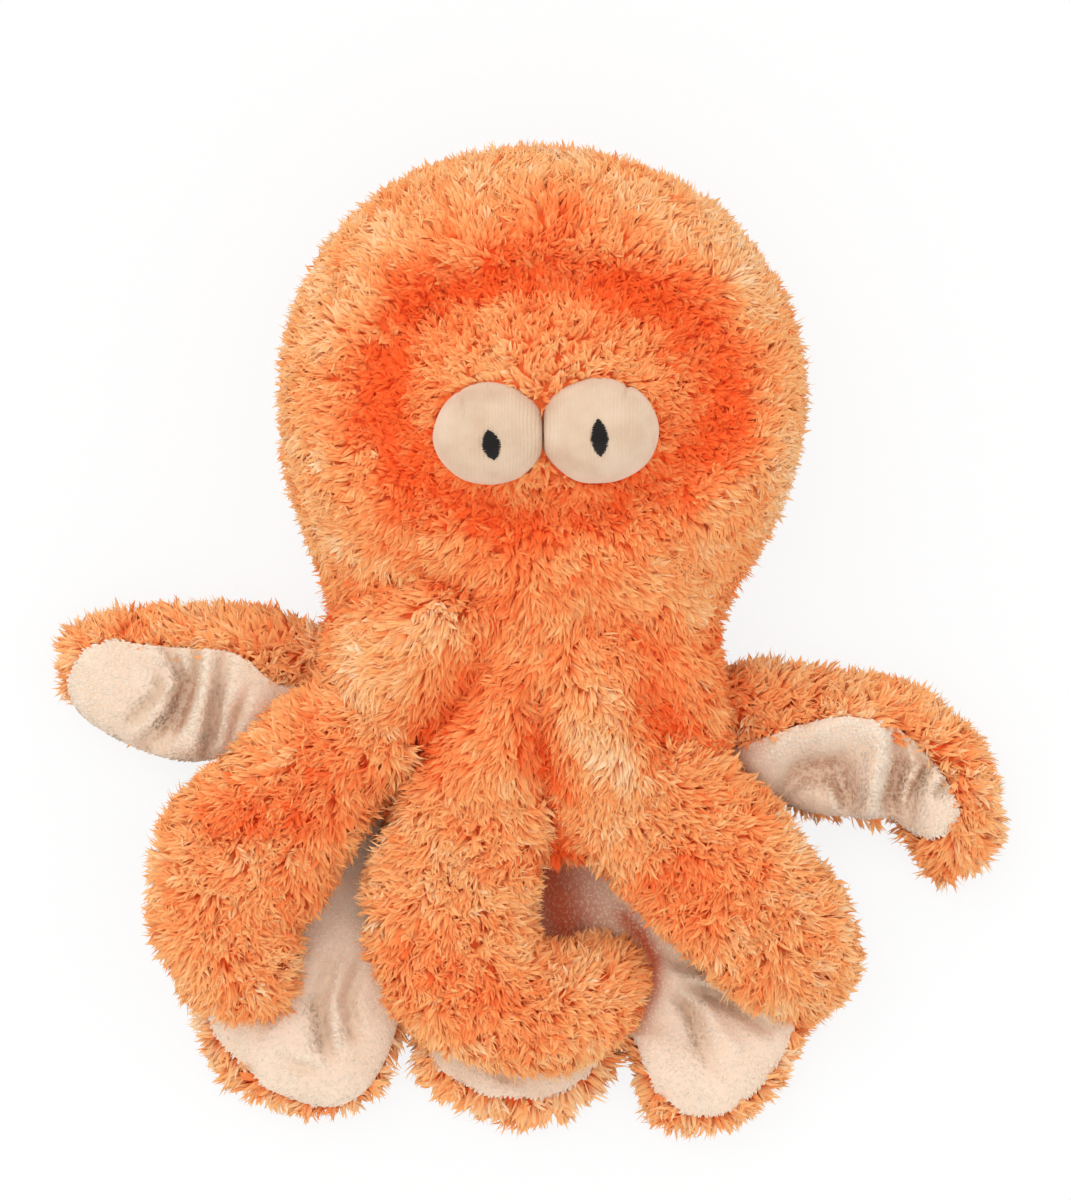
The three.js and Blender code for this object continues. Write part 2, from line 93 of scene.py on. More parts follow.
NOISE_CELLS = 32
NOISE_TABLE = np.random.default_rng(11).uniform(-1, 1, (4, NOISE_CELLS, NOISE_CELLS, NOISE_CELLS))


def noise(points, size, channel=0):
    """Smooth noise from -1 to 1 whose lumps are about size apart."""
    p = np.asarray(points, float) / size + 1000.0
    cell = np.floor(p).astype(int)
    f = p - cell
    f = f * f * (3 - 2 * f)
    total = np.zeros(p.shape[:-1])
    for corner in range(8):
        step = np.array([corner & 1, corner >> 1 & 1, corner >> 2 & 1])
        index = (cell + step) % NOISE_CELLS
        weight = np.prod(np.where(step == 1, f, 1 - f), axis=-1)
        total += weight * NOISE_TABLE[channel][index[..., 0], index[..., 1], index[..., 2]]
    return total


# Painted shade and light on the pile: deeper in colour in its hollows and crevices, paler on its ridges: (u, v, half
# width, half height, change)
PILE_LIGHT_AND_SHADE_PATCHES = [
    (556, 225, 70, 42, -0.12), (452, 292, 42, 24, -0.1), (632, 296, 44, 24, -0.1), (545, 275, 34, 16, 0.1),
    (390, 392, 22, 46, -0.12), (548, 500, 34, 16, 0.12), (700, 440, 22, 46, -0.08), (480, 350, 30, 14, 0.08),
    (500, 602, 52, 34, -0.14), (668, 728, 34, 44, -0.3), (420, 610, 36, 26, 0.1), (470, 700, 40, 34, -0.1),
    (335, 790, 44, 46, -0.3), (250, 815, 40, 36, -0.2), (290, 895, 46, 46, -0.16), (175, 800, 26, 60, 0.08),
    (255, 745, 52, 26, 0.1), (470, 775, 34, 30, -0.14), (430, 945, 48, 36, -0.2), (500, 1005, 44, 24, -0.12),
    (385, 870, 22, 60, 0.08), (578, 985, 22, 40, 0.08), (690, 868, 56, 34, -0.26), (612, 755, 26, 52, 0.12),
    (800, 880, 26, 56, 0.1), (735, 725, 44, 34, -0.12), (636, 1036, 18, 22, -0.22), (170, 625, 34, 16, -0.14),
    (285, 640, 30, 24, -0.1),
]


# Painted shade and light: the change in tone that the patches give each point.
def paint_light_and_shade(points, patches=PILE_LIGHT_AND_SHADE_PATCHES):
    total = np.zeros(points.shape[:-1])
    for u, v, wide, high, change in patches:
        x, y = photo(u, v)
        aside = (points[..., 0] - x) / (wide * PHOTO_SCALE)
        ahead = (points[..., 1] - y) / (high * PHOTO_SCALE)
        total += change * np.exp(-(aside ** 2 + ahead ** 2))
    return total


def crease(x, y, line):
    """How deep a fold is that runs through (u, v, depth, width), in pixels and millimetres."""
    nearest = np.full(np.shape(x), np.inf)
    depth = np.zeros(np.shape(x))
    for (u0, v0, d0, w0), (u1, v1, d1, w1) in zip(line, line[1:]):
        (ax, ay), (bx, by) = photo(u0, v0), photo(u1, v1)
        t = np.clip(((x - ax) * (bx - ax) + (y - ay) * (by - ay)) / ((bx - ax) ** 2 + (by - ay) ** 2), 0, 1)
        distance = np.hypot(x - ax - t * (bx - ax), y - ay - t * (by - ay))
        here = (d0 + t * (d1 - d0)) * np.exp(-((distance / (w0 + t * (w1 - w0))) ** 2))
        depth = np.where(distance < nearest, here, depth)
        nearest = np.minimum(nearest, distance)
    return depth


# Body: the same bag as in the CAD, with the folds that the photograph shows

HEAD_RADIUS = 78
FACE = np.array([0.077, 0.981]) * HEAD_RADIUS
OUTLINE = np.array([
    [0, 0.976], [13, 0.98], [25, 0.976], [37, 0.968], [50, 0.964], [64, 0.958], [77, 0.955], [90, 0.958],
    [103, 0.97], [116, 0.992], [130, 1.018], [142, 1.032], [155, 1.036], [168, 1.03], [180, 1.03], [190, 1.035],
    [200, 1.052], [210, 1.077], [219, 1.11], [226, 1.2], [231, 1.39], [237, 1.54], [246, 1.68],
    [256, 1.77], [268, 1.795], [280, 1.78], [290, 1.72], [297, 1.5], [302, 1.16], [308, 1.05],
    [317, 0.995], [330, 0.97], [345, 0.97],
])
BODY_FOLDS = [  # between two arms, under the chin, and last the ridges
    [(500, 615, 2, 6), (482, 660, 6, 7), (455, 705, 9, 7), (420, 750, 10, 8), (380, 805, 10, 8)],
    [(545, 650, 1, 5), (541, 700, 6, 6), (546, 760, 8, 6), (552, 850, 9, 7)],
    [(648, 655, 1, 6), (652, 700, 6, 7), (672, 745, 8, 7), (715, 775, 6, 7)],
    [(300, 640, 3, 6), (370, 600, 4, 5), (430, 573, 4, 5), (478, 592, 3, 5)],
    [(735, 640, 4, 7), (690, 645, 4, 6), (630, 622, 3, 6), (565, 620, 1, 6)],
    [(452, 584, 0, 8), (436, 612, -5, 10), (402, 640, -7, 11), (362, 676, -4, 12), (325, 708, 0, 12)],
    [(564, 634, 0, 7), (572, 664, -4, 8), (590, 705, -7, 9), (614, 762, -5, 11), (650, 825, 0, 12)],
    [(500, 745, -2, 8), (450, 800, -4, 9), (430, 850, -3, 10)],
]
CLOTH_INSET = 4.5  # of the fur's backing below the tips of its pile
SEAM_HEIGHT, HEAD_SEAM_RISE = 24, 19  # of the side seam at the hub, and how much higher it lies at the head
FRONT_HEIGHT, HEAD_HEIGHT_LOSS = 54, 7  # of the front over that seam, and how much lower it is at the head
FRONT_POWER, BACK_POWER = 2.3, 7  # of the two profiles: 2 is an ellipse, and more is fuller
FACE_HALF_WIDTH, FACE_HALF_HEIGHT = 49, 34
GROOVE_DEPTH, GROOVE_WIDTH = 8, 11  # of the ring round the face
LOWEST_CLOTH, LOWEST_ARM = 1.2, 0.8  # heights over the floor, so that the pile below has room


def outline_share(angle):
    dense = np.interp(np.arange(720) / 2, OUTLINE[:, 0], OUTLINE[:, 1], period=360)
    for _ in range(3):
        dense = (np.roll(dense, 3) + np.roll(dense, -3) + 2 * dense) / 4
    return np.interp(np.degrees(angle), np.arange(720) / 2, dense, period=360)


def headness(y):
    return smooth((y / HEAD_RADIUS - 0.18) / 0.564)


def face_reach(x, y):
    """1 on the ring round the face, and less inside it."""
    return np.hypot((x - FACE[0]) / FACE_HALF_WIDTH, (y - FACE[1]) / FACE_HALF_HEIGHT)


def face_groove(x, y):
    middle = (FACE_HALF_WIDTH + FACE_HALF_HEIGHT) / 2
    return np.exp(-((((face_reach(x, y) - 1) * middle) / GROOVE_WIDTH) ** 2))


def body_point(angle, share, inset, is_front):
    """The bag's surface at an angle round the face's middle and a share of the way to the side seam."""
    radius = share * (HEAD_RADIUS * (1 + (outline_share(angle) - 1) * share ** 3) - inset)
    x = FACE[0] + radius * np.cos(angle)
    y = FACE[1] + radius * np.sin(angle)
    head = headness(y)
    seam = SEAM_HEIGHT + HEAD_SEAM_RISE * head
    if is_front:
        height = (FRONT_HEIGHT - HEAD_HEIGHT_LOSS * head - inset) * (1 - share ** FRONT_POWER) ** (1 / FRONT_POWER)
        settled = smooth(height / 8)
        folds = sum(crease(x, y, line) for line in BODY_FOLDS)
        z = seam + np.maximum(height - GROOVE_DEPTH * face_groove(x, y) * settled - folds * settled, 0)
    else:
        z = np.maximum(seam - (seam + 0.5 - inset) * (1 - share ** BACK_POWER) ** (1 / BACK_POWER), LOWEST_CLOTH)
    return np.stack([x, y, z], axis=-1)


# Arms: the same paths and sections as in the CAD

SEAMS = {  # direction from the hub's middle and distance from it, as a share of the head's radius
    "sideLeft": (195, 0.738), "frontLeft": (209, 0.705), "frontMiddle": (253, 0.65),
    "frontRight": (308, 0.622), "sideRight": (355, 0.744),
}
UP, DOWN = ([12] * 7, [168] * 7), ([200] * 7, [340] * 7)
# A lining lies between two angles round the section, where 90 is up. Its place, aside of the seam's middle, and all
# widths are shares of the arm's half width. The tables run evenly from root to end.
ARMS = {
    "front_left": dict(
        seam="frontLeft", lining=DOWN, elbow=0.56, aside=-0.176, length=1.02, half_width=0.96,
        headings=[209, 228, 231, 234, 264, 302, 310], widths=[0.8, 0.92, 0.99, 1.08, 0.93, 0.78, 0.66],
        thicks=[1, 1.02, 1.02, 1, 0.96, 0.9, 0.8], lifts=[1.5, 1.2, 1.04, 1.02, 1, 0.98, 0.94]),
    "front_middle": dict(
        seam="frontMiddle", lining=DOWN, elbow=0.36, aside=-0.068, length=1.06, half_width=1,
        headings=[253, 252, 279, 313, 352, 392, 425], widths=[0.94, 0.99, 0.98, 0.92, 0.8, 0.66, 0.52],
        thicks=[1, 1, 1, 0.98, 0.92, 0.84, 0.7], lifts=[1.4, 1.12, 1, 1, 0.95, 0.8, 0.6]),
    "front_right": dict(
        seam="frontRight", lining=DOWN, aside=0.104, length=0.9, half_width=1.05,
        headings=[306, 311, 313, 314, 310, 301, 289], widths=[0.96, 0.98, 0.96, 0.93, 0.88, 0.78, 0.62],
        thicks=[1, 1, 1, 0.98, 0.94, 0.88, 0.78], lifts=[1.5, 1.24, 1.12, 1.1, 0.98, 0.72, 0.4]),
    "side_left": dict(
        seam="sideLeft", elbow=0.6, aside=-0.69, length=0.83, half_width=0.88, plump=2.9, lining_short=5,
        lining=([-30, -30, -30, -30, -30, -14, 20], [40, 63, 101, 111, 114, 113, 112]),
        headings=[194, 187, 196, 185, 169, 155, 146], widths=[0.46, 0.74, 1, 1.13, 1.02, 0.82, 0.56],
        thicks=[0.86, 0.9, 0.94, 0.94, 0.9, 0.84, 0.76]),
    "side_right": dict(
        seam="sideRight", elbow=0.58, aside=-0.5, length=0.98, half_width=0.88, plump=1.6,
        lining=([185, 103, 73, 69, 80, 85, 90], [176, 200, 178, 168, 196, 204, 204]), lining_from=0.03, lining_short=9,
        headings=[352, 334, 348, 349, 322, 283, 240], widths=[0.56, 0.9, 1.02, 1.04, 0.88, 0.75, 0.56],
        thicks=[0.86, 0.92, 1, 1, 0.92, 0.84, 0.76]),
    "back_left": dict(
        seam="frontLeft", lining=UP, aside=-0.016, length=1.17, half_width=0.96, lining_short=5,
        headings=[209, 258, 272, 267, 243, 225, 226], widths=[0.6, 0.82, 0.72, 0.68, 1.3, 1.46, 1.12],
        thicks=[0.54, 0.54, 0.54, 0.6, 0.72, 0.8, 0.7]),
    "back_middle": dict(
        seam="frontMiddle", aside=-0.024, length=0.94, half_width=1, lining_short=6,
        lining=([12, -20, -30, -20, 20, 38, 46], [168, 168, 168, 162, 152, 142, 134]),
        headings=[253, 272, 286, 288, 282, 272, 264], widths=[0.7, 1.2, 1.4, 1.25, 1.2, 1.5, 1.36],
        thicks=[0.54, 0.54, 0.54, 0.54, 0.54, 0.62, 0.7]),
    "back_right": dict(
        seam="frontRight", aside=-0.5, length=1.06, half_width=0.92, lining_short=5,
        lining=([12, 12, 12, 12, 20, 26, 40], [180, 215, 205, 170, 162, 156, 146]),
        headings=[308, 303, 295, 290, 281, 246, 228], widths=[1, 1.35, 1.24, 1.2, 1.5, 1.02, 0.66],
        thicks=[0.54, 0.54, 0.54, 0.54, 0.64, 0.8, 0.72]),
}
ROOT_DEPTH = 12  # how far an arm's cloth runs inside the bag
FINE_STEPS = 240
ARM_LENGTH = HEAD_RADIUS * 1.282
ARM_HALF_WIDTH = HEAD_RADIUS * 0.3205
ARM_HALF_THICKNESS = 13.5
ARM_LIFT = 16  # of a front arm that lies on a back one
FRONT_SETTLING = 4  # how far a front arm sinks into the back one
SECTION_POWER = 0.86  # 1 is an ellipse, and less is fuller


def prepare_arm(arm):
    """Adds an arm's length and the places along it."""
    arm.setdefault("lifts", [0, 0])
    direction, distance = SEAMS[arm["seam"]]
    arm["total"] = ARM_LENGTH * arm["length"]
    arm["half"] = ARM_HALF_WIDTH * arm["half_width"]
    root = bearing(direction) * (HEAD_RADIUS * distance + 0.3)
    root = root + bearing(direction + 90) * arm["half"] * arm["aside"]
    step = arm["total"] / FINE_STEPS
    headings = sample(arm["headings"], (np.arange(FINE_STEPS) + 0.5) / FINE_STEPS)
    path = np.vstack([root, root + np.cumsum(bearing(headings) * step, axis=0)])
    back = root - bearing(direction) * ROOT_DEPTH
    arm["direction"] = direction
    arm["path_distance"] = np.concatenate([[-ROOT_DEPTH], np.arange(FINE_STEPS + 1) * step])
    arm["path"] = np.vstack([back, path])
    arm["tip"] = arm["half"] * arm["widths"][-1]


def station(arm, distance):
    """Place, heading, half width, half height, middle height and middle point of the section at each distance."""
    distance = np.asarray(distance, float)
    share = distance / arm["total"]
    into_tip = np.clip((distance - (arm["total"] - arm["tip"])) / arm["tip"], 0, 1)
    closing = np.sqrt(np.maximum(1 - into_tip ** 2, 0))
    half_height = ARM_HALF_THICKNESS * sample(arm["thicks"], share) * closing ** 0.45
    settling = FRONT_SETTLING if arm["lining"] == DOWN else 0
    place = np.stack([np.interp(distance, arm["path_distance"], arm["path"][:, k]) for k in (0, 1)], axis=-1)
    middle = ARM_LIFT * sample(arm["lifts"], share) + half_height - 0.5 - settling
    return {
        "place": place,
        "heading": sample(arm["headings"], share),
        "half_width": arm["half"] * sample(arm["widths"], share) * closing,
        "half_height": half_height,
        "middle": middle,
        "core": lifted(place, middle),
    }


def power(value, exponent):
    return np.sign(value) * np.abs(value) ** exponent


def arm_point(arm, distance, angle, inset, relief=None):
    """A point of an arm's surface at a distance from its root and an angle, in degrees, round its section."""
    s = station(arm, distance)
    wide = np.maximum(s["half_width"] - inset, s["half_width"] * 0.3)
    high = np.maximum(s["half_height"] - inset, s["half_height"] * 0.3)
    aside = bearing(s["heading"] + 90) * (wide * power(np.cos(np.radians(angle)), SECTION_POWER))[..., None]
    points = lifted(s["place"] + aside, s["middle"] + high * power(np.sin(np.radians(angle)), SECTION_POWER))
    if relief is not None:
        upper = smooth((np.sin(np.radians(angle)) + 0.15) / 0.5)
        points[..., 2] -= relief(points[..., 0], points[..., 1]) * upper
    points[..., 2] = np.maximum(points[..., 2], LOWEST_ARM)
    return points


def nearest_station(points, s):
    """For each point, the number of the nearest section and how far aside and ahead of its middle the point lies."""
    offset = points[:, None, :2] - s["place"][None]
    i = np.argmin((offset ** 2).sum(axis=-1), axis=1)
    nearest = offset[np.arange(len(points)), i]
    heading = s["heading"][i]
    return i, (nearest * bearing(heading + 90)).sum(axis=-1), (nearest * bearing(heading)).sum(axis=-1)


def inside_arm(points, arm, inset):
    """Which points lie inside an arm's surface."""
    distances = np.linspace(-ROOT_DEPTH, arm["total"] * 0.995, 90)
    s = station(arm, distances)
    low = s["place"].min(axis=0) - arm["half"] * 1.4
    high = s["place"].max(axis=0) + arm["half"] * 1.4
    near = np.flatnonzero(np.all((points[:, :2] > low) & (points[:, :2] < high), axis=1))
    inside = np.zeros(len(points), bool)
    for part in np.array_split(near, max(len(near) // 20000, 1)):
        if not len(part):
            continue
        i, aside, ahead = nearest_station(points[part], s)
        aside = np.abs(aside) / np.maximum(s["half_width"][i] - inset, 1)
        up = np.abs(points[part, 2] - s["middle"][i]) / np.maximum(s["half_height"][i] - inset, 1)
        inside[part] = (aside ** 2.33 + up ** 2.33 < 1) & (np.abs(ahead) < 4)
    return inside


def place_on_arm(points, arm):
    """Distance from an arm's root and angle round its section of each point."""
    distances = np.linspace(0, arm["total"] * 0.995, 120)
    s = station(arm, distances)
    found = []
    for part in np.array_split(points, len(points) // 10000 + 1):
        i, aside, _ = nearest_station(part, s)
        aside = power(aside / s["half_width"][i], 1 / SECTION_POWER)
        up = power((part[:, 2] - s["middle"][i]) / s["half_height"][i], 1 / SECTION_POWER)
        found.append(np.stack([distances[i], np.degrees(np.arctan2(up, aside)) % 360]))
    return np.concatenate(found, axis=1)


for ARM in ARMS.values():
    prepare_arm(ARM)


# Eyes

EYE_RADIUS = 18
EYE_MEET = FACE[0] - 0.027 * HEAD_RADIUS  # x of the plane where the eyes press together
EYE_HEIGHT = 84
EYES = {  # a pupil is its middle's x and y and its half width and half height, in shares of EYE_RADIUS
    "left": dict(
        aside=-0.862, forward=-0.145, sizes=(0.932, 0.842, 0.861), pupil=(0.02, -0.2, 0.15, 0.244), lean=12,
        dart=[(462, 398, 0.9, 0.8), (464, 412, 0.8, 0.7), (466, 428, 0, 0.6)]),
    "right": dict(
        aside=0.9, forward=-0.132, sizes=(0.99, 0.866, 0.917), pupil=(0.01, -0.14, 0.144, 0.3), lean=4,
        dart=[(627, 385, 0.9, 0.8), (624, 398, 0.8, 0.7), (621, 412, 0, 0.6)]),
}


def eye_middle(eye):
    return np.array([EYE_MEET + EYE_RADIUS * eye["aside"], FACE[1] + HEAD_RADIUS * eye["forward"], EYE_HEIGHT])


def inside_eye(points, eye, extra):
    sizes = np.array(eye["sizes"]) * EYE_RADIUS + extra
    return (((points - eye_middle(eye)) / sizes) ** 2).sum(axis=-1) < 1


# Meshes

def add_object(name, data):
    made = bpy.data.objects.new(name, data)
    bpy.context.scene.collection.objects.link(made)
    return made


def new_piece(name, points, loops, sizes, material, flat_from=None, uv=None, normals=None, shade=None):
    """A mesh from points, the corner list of its faces, and how many corners each has.
    From face flat_from on, the faces are flat and their edges sharp."""
    mesh = bpy.data.meshes.new(name)
    mesh.vertices.add(len(points))
    mesh.vertices.foreach_set("co", metres(points).astype(np.float32).ravel())
    mesh.loops.add(len(loops))
    mesh.loops.foreach_set("vertex_index", loops.astype(np.int32))
    mesh.polygons.add(len(sizes))
    starts = np.concatenate([[0], np.cumsum(sizes)[:-1]])
    mesh.polygons.foreach_set("loop_start", starts.astype(np.int32))
    flat_from = len(sizes) if flat_from is None else flat_from
    mesh.polygons.foreach_set("use_smooth", np.arange(len(sizes)) < flat_from)
    if uv is not None:
        layer = mesh.uv_layers.new(name="OFBake")
        layer.uv.foreach_set("vector", uv.astype(np.float32).ravel())
    if shade is not None:
        layer = mesh.attributes.new("shade", "FLOAT", "POINT")
        layer.data.foreach_set("value", shade.astype(np.float32).ravel())
    mesh.update(calc_edges=True)
    mesh.validate()
    if flat_from < len(sizes):
        flat = np.zeros(len(points), bool)
        flat[loops[starts[flat_from]:]] = True
        ends = np.empty(len(mesh.edges) * 2, np.int32)
        mesh.edges.foreach_get("vertices", ends)
        mesh.edges.foreach_set("use_edge_sharp", flat[ends.reshape(-1, 2)].all(axis=1))
    if normals is not None:
        mesh.normals_split_custom_set(normals.astype(np.float32))
    mesh.materials.append(material)
    return add_object(name, mesh)


def grid_faces(rows, columns, wraps, start=0):
    """Corners of the quads of a grid of points."""
    i = np.arange(rows - 1)[:, None] * columns
    j = np.arange(columns if wraps else columns - 1)[None]
    k = (j + 1) % columns
    return (np.stack([i + j, i + k, i + columns + k, i + columns + j], axis=-1).reshape(-1, 4)) + start


def tube_piece(name, rings, material, has_flat_ends=False):
    """A closed mesh through rings of points, with a fan across each end."""
    rows, columns = rings.shape[:2]
    quads = grid_faces(rows, columns, True)
    points = np.vstack([rings.reshape(-1, 3), rings[0].mean(axis=0), rings[-1].mean(axis=0)])
    j = np.arange(columns)
    k = (j + 1) % columns
    first, last = rows * columns, rows * columns + 1
    end = (rows - 1) * columns
    fans = np.vstack([
        np.stack([k, j, np.full(columns, first)], axis=-1),
        np.stack([end + j, end + k, np.full(columns, last)], axis=-1),
    ])
    loops = np.concatenate([quads.ravel(), fans.ravel()])
    sizes = np.concatenate([np.full(len(quads), 4), np.full(len(fans), 3)])
    return new_piece(name, points, loops, sizes, material, flat_from=len(quads) if has_flat_ends else None)


def shell_piece(name, outside, inside, material, shade=None):
    """A closed piece of cloth between two grids of points. The shade, from 0 to 1, is painted shade and says how deep
    a point lies between two arms."""
    rows, columns = outside.shape[:2]
    count = rows * columns
    over = grid_faces(rows, columns, False)
    under = grid_faces(rows, columns, False, count)[:, ::-1]
    index = np.arange(count).reshape(rows, columns)
    rim = np.concatenate([index[0, :], index[1:, -1], index[-1, -2::-1], index[-2:0:-1, 0]])
    following = np.roll(rim, -1)
    sides = np.stack([following, rim, rim + count, following + count], axis=-1)
    quads = np.vstack([over, under, sides])
    points = np.vstack([outside.reshape(-1, 3), inside.reshape(-1, 3)])
    shade = None if shade is None else np.tile(shade.ravel(), 2)
    flat_from = len(quads) - len(sides)
    return new_piece(name, points, quads.ravel(), np.full(len(quads), 4), material, flat_from=flat_from, shade=shade)


def grid_normals(grid, wraps):
    """Normals of a grid of points."""
    if wraps:
        along = np.roll(grid, -1, axis=1) - np.roll(grid, 1, axis=1)
    else:
        along = np.gradient(grid, axis=1)
    return unit(np.cross(np.gradient(grid, axis=0), along))


# Pile: tufts of tapered, slightly bent locks

LOCK_PLACES = np.array([0.0, 0.4, 0.76, 1.0])
LOCK_WIDTHS = np.array([0.75, 1.0, 0.66])
LOCK_CORNERS = np.array([[-0.5, -0.06], [0.5, -0.06], [0.0, 0.2]])
LOCK_RINGS = len(LOCK_WIDTHS)
LOCK_TIP = 3 * LOCK_RINGS
LOCK_QUADS = np.array([
    [3 * r + c, 3 * r + 3 + c, 3 * r + 3 + (c + 1) % 3, 3 * r + (c + 1) % 3]
    for r in range(LOCK_RINGS - 1) for c in range(3)
])
LOCK_FACINGS = np.array([  # of its corners' normals, under and over
    [[-0.3, -0.95], [0.3, -0.95], [0.0, 1.0]], [[-0.7, 0.7], [0.7, 0.7], [0.0, 1.0]],
])
LOCK_TRIANGLES = np.array([
    [LOCK_TIP - 2, LOCK_TIP - 3, LOCK_TIP], [LOCK_TIP - 1, LOCK_TIP - 2, LOCK_TIP],
    [LOCK_TIP - 3, LOCK_TIP - 1, LOCK_TIP], [0, 1, 2],
])
LOCK_LOOPS = np.concatenate([LOCK_QUADS.ravel(), LOCK_TRIANGLES.ravel()])
IS_UNDER = np.concatenate([
    np.repeat(np.tile([True, False, False], LOCK_RINGS - 1), 4), np.repeat([True, False, False, True], 3),
])
UNDER_LOOPS, OVER_LOOPS = LOCK_LOOPS[IS_UNDER], LOCK_LOOPS[~IS_UNDER]
LOOP_ORDER = np.argsort(np.concatenate([np.flatnonzero(IS_UNDER), np.flatnonzero(~IS_UNDER)]))


def scatter(grid, normals, wraps, spacing, rng):
    """Places spread evenly over a grid of points: the points, their normals and where they lie in the grid.
    Of 5 tries for each place, the first in every cell of space stays."""
    rows, columns = grid.shape[:2]
    last = columns if wraps else columns - 1
    a = grid[:-1, :last]
    b = np.roll(grid, -1, axis=1)[:-1, :last]
    c = grid[1:, :last]
    flat = np.linalg.norm(np.cross(b - a, c - a), axis=-1).ravel()
    count = int(flat.sum() / spacing ** 2 * 5)
    chosen = np.searchsorted(np.cumsum(flat), (np.arange(count) + rng.uniform(size=count)) / count * flat.sum())
    chosen = np.minimum(chosen, len(flat) - 1)
    i, j = chosen // last, chosen % last
    fi, fj = rng.uniform(size=(2, count, 1))
    k = (j + 1) % columns

    def mix(values):
        upper = values[i, j] * (1 - fj) + values[i, k] * fj
        return upper * (1 - fi) + (values[i + 1, j] * (1 - fj) + values[i + 1, k] * fj) * fi

    points = mix(grid)
    cells = np.floor(points / spacing).astype(np.int64)
    order = rng.permutation(count)
    key = (cells[:, 0] * 4001 + cells[:, 1]) * 4001 + cells[:, 2]
    _, first = np.unique(key[order], return_index=True)
    picked = np.sort(order[first])
    return points[picked], unit(mix(normals)[picked]), i[picked] + fi[picked, 0], j[picked] + fj[picked, 0]


def locks(points, normals, comb, length, width, tone, rng, each=6, spread=1.5, stray=0.42, jitter=1, soft=1):
    """Locks of pile in tufts at points: each lock's corners, their normals and its tone.
    Every third lock is a thin one. Stray is for directions and jitter for tones, and with a higher soft
    the light treats the pile more as one surface."""
    count = len(points) * each
    owner = np.repeat(np.arange(len(points)), each)
    thin = np.tile(np.arange(each) % 3 == 2, len(points))
    n = normals[owner]
    side = unit(np.cross(n, rng.normal(size=(count, 3))))
    offset = side * (spread * np.sqrt(rng.uniform(size=(count, 1))))
    tuft_turn = rng.normal(size=(len(points), 3)) * stray
    lean = comb[owner] + tuft_turn[owner] + rng.normal(size=(count, 3)) * stray * 0.45
    lean -= n * (lean * n).sum(axis=-1, keepdims=True)
    start_way = unit(n + lean * 0.5)
    end_way = unit(n * 0.5 + lean * 1.5)
    reach = (length[owner] * rng.uniform(0.7, 1.12, count) * np.where(thin, 1.08, 1))[:, None]
    bow = unit(np.cross(start_way, end_way) + 1e-6) * rng.normal(size=(count, 1)) * 0.28
    root = points[owner] + offset - n * 0.8
    middle = root + (start_way + bow) * reach * 0.5
    tip = middle + (end_way - bow * 0.6) * reach * 0.5 - offset * 0.75  # the tips of a tuft draw together
    across = unit(np.cross(end_way, n) + unit(np.cross(end_way, rng.normal(size=(count, 3)))) * 0.55)
    thick = unit(np.cross(across, end_way))
    outwards = np.where((thick * n).sum(axis=-1, keepdims=True) < 0, -1, 1)
    across, thick = across * outwards, thick * outwards
    broad = (width * rng.uniform(0.65, 1.3, count) * np.where(thin, 0.4, 1))[:, None]
    corners = np.empty((count, LOCK_TIP + 1, 3))
    under = np.empty((count, LOCK_TIP + 1, 3))
    over = np.empty((count, LOCK_TIP + 1, 3))
    for r, place in enumerate(LOCK_PLACES[:-1]):
        centre = root * (1 - place) ** 2 + middle * 2 * place * (1 - place) + tip * place ** 2
        for c, (x, y) in enumerate(LOCK_CORNERS):
            corners[:, 3 * r + c] = centre + (across * x + thick * y) * broad * LOCK_WIDTHS[r]
            for way, own, share in ((under, LOCK_FACINGS[0, c], 0.35), (over, LOCK_FACINGS[1, c], 1.1)):
                way[:, 3 * r + c] = unit((across * own[0] + thick * own[1]) * 0.65 + n * share * soft)
    corners[:, LOCK_TIP] = tip
    under[:, LOCK_TIP] = unit(end_way * 0.4 - thick * 0.65 + n * 0.35 * soft)
    over[:, LOCK_TIP] = unit(end_way * 0.4 + thick * 0.65 + n * 1.1 * soft)
    tuft_tone = tone + rng.normal(size=len(points)) * 0.05 * jitter
    tones = np.clip(tuft_tone[owner] + (rng.normal(size=count) * 0.07 + np.where(thin, 0.05, 0)) * jitter, 0.02, 0.98)
    faces = np.concatenate([under[:, UNDER_LOOPS], over[:, OVER_LOOPS]], axis=1)[:, LOOP_ORDER]
    return corners, faces, tones


def pile_piece(name, corners, faces, tones, material):
    """One mesh of many locks. The map's u is the lock's tone and its v runs from root to tip."""
    corners = corners.copy()
    corners[..., 2] = np.maximum(corners[..., 2], 0.25)
    count = len(corners)
    base = np.arange(count)[:, None, None] * (LOCK_TIP + 1)
    quads = (base + LOCK_QUADS[None]).reshape(count, -1)
    triangles = (base + LOCK_TRIANGLES[None]).reshape(count, -1)
    loops = np.concatenate([quads, triangles], axis=1).ravel()
    sizes = np.tile(np.array([4] * len(LOCK_QUADS) + [3] * len(LOCK_TRIANGLES)), count)
    height = np.concatenate([np.repeat(LOCK_PLACES[:-1], 3), [1.0]]) * 0.96 + 0.02
    aside = np.concatenate([np.tile([-1.0, 1.0, 0.0], LOCK_RINGS), [0.3]]) * 0.008
    u = np.clip(0.02 + tones[:, None] * 0.96, 0.01, 0.99) + aside[LOCK_LOOPS][None]
    v = np.tile(height[LOCK_LOOPS], (count, 1))
    uv = np.stack([np.clip(u, 0, 1), v], axis=-1).reshape(-1, 2)
    return new_piece(name, corners.reshape(-1, 3), loops, sizes, material, uv=uv, normals=faces.reshape(-1, 3))


# Materials

MIX_A, MIX_B, MIX_RESULT = 6, 7, 2  # the colour sockets of a Mix node


def set_up(node, **values):
    """Sets a node's properties and, where a name starts with a capital and has _ for a space, its inputs."""
    for name, value in values.items():
        if name[0].isupper():
            node.inputs[name.replace("_", " ")].default_value = value
        else:
            setattr(node, name, value)
    return node


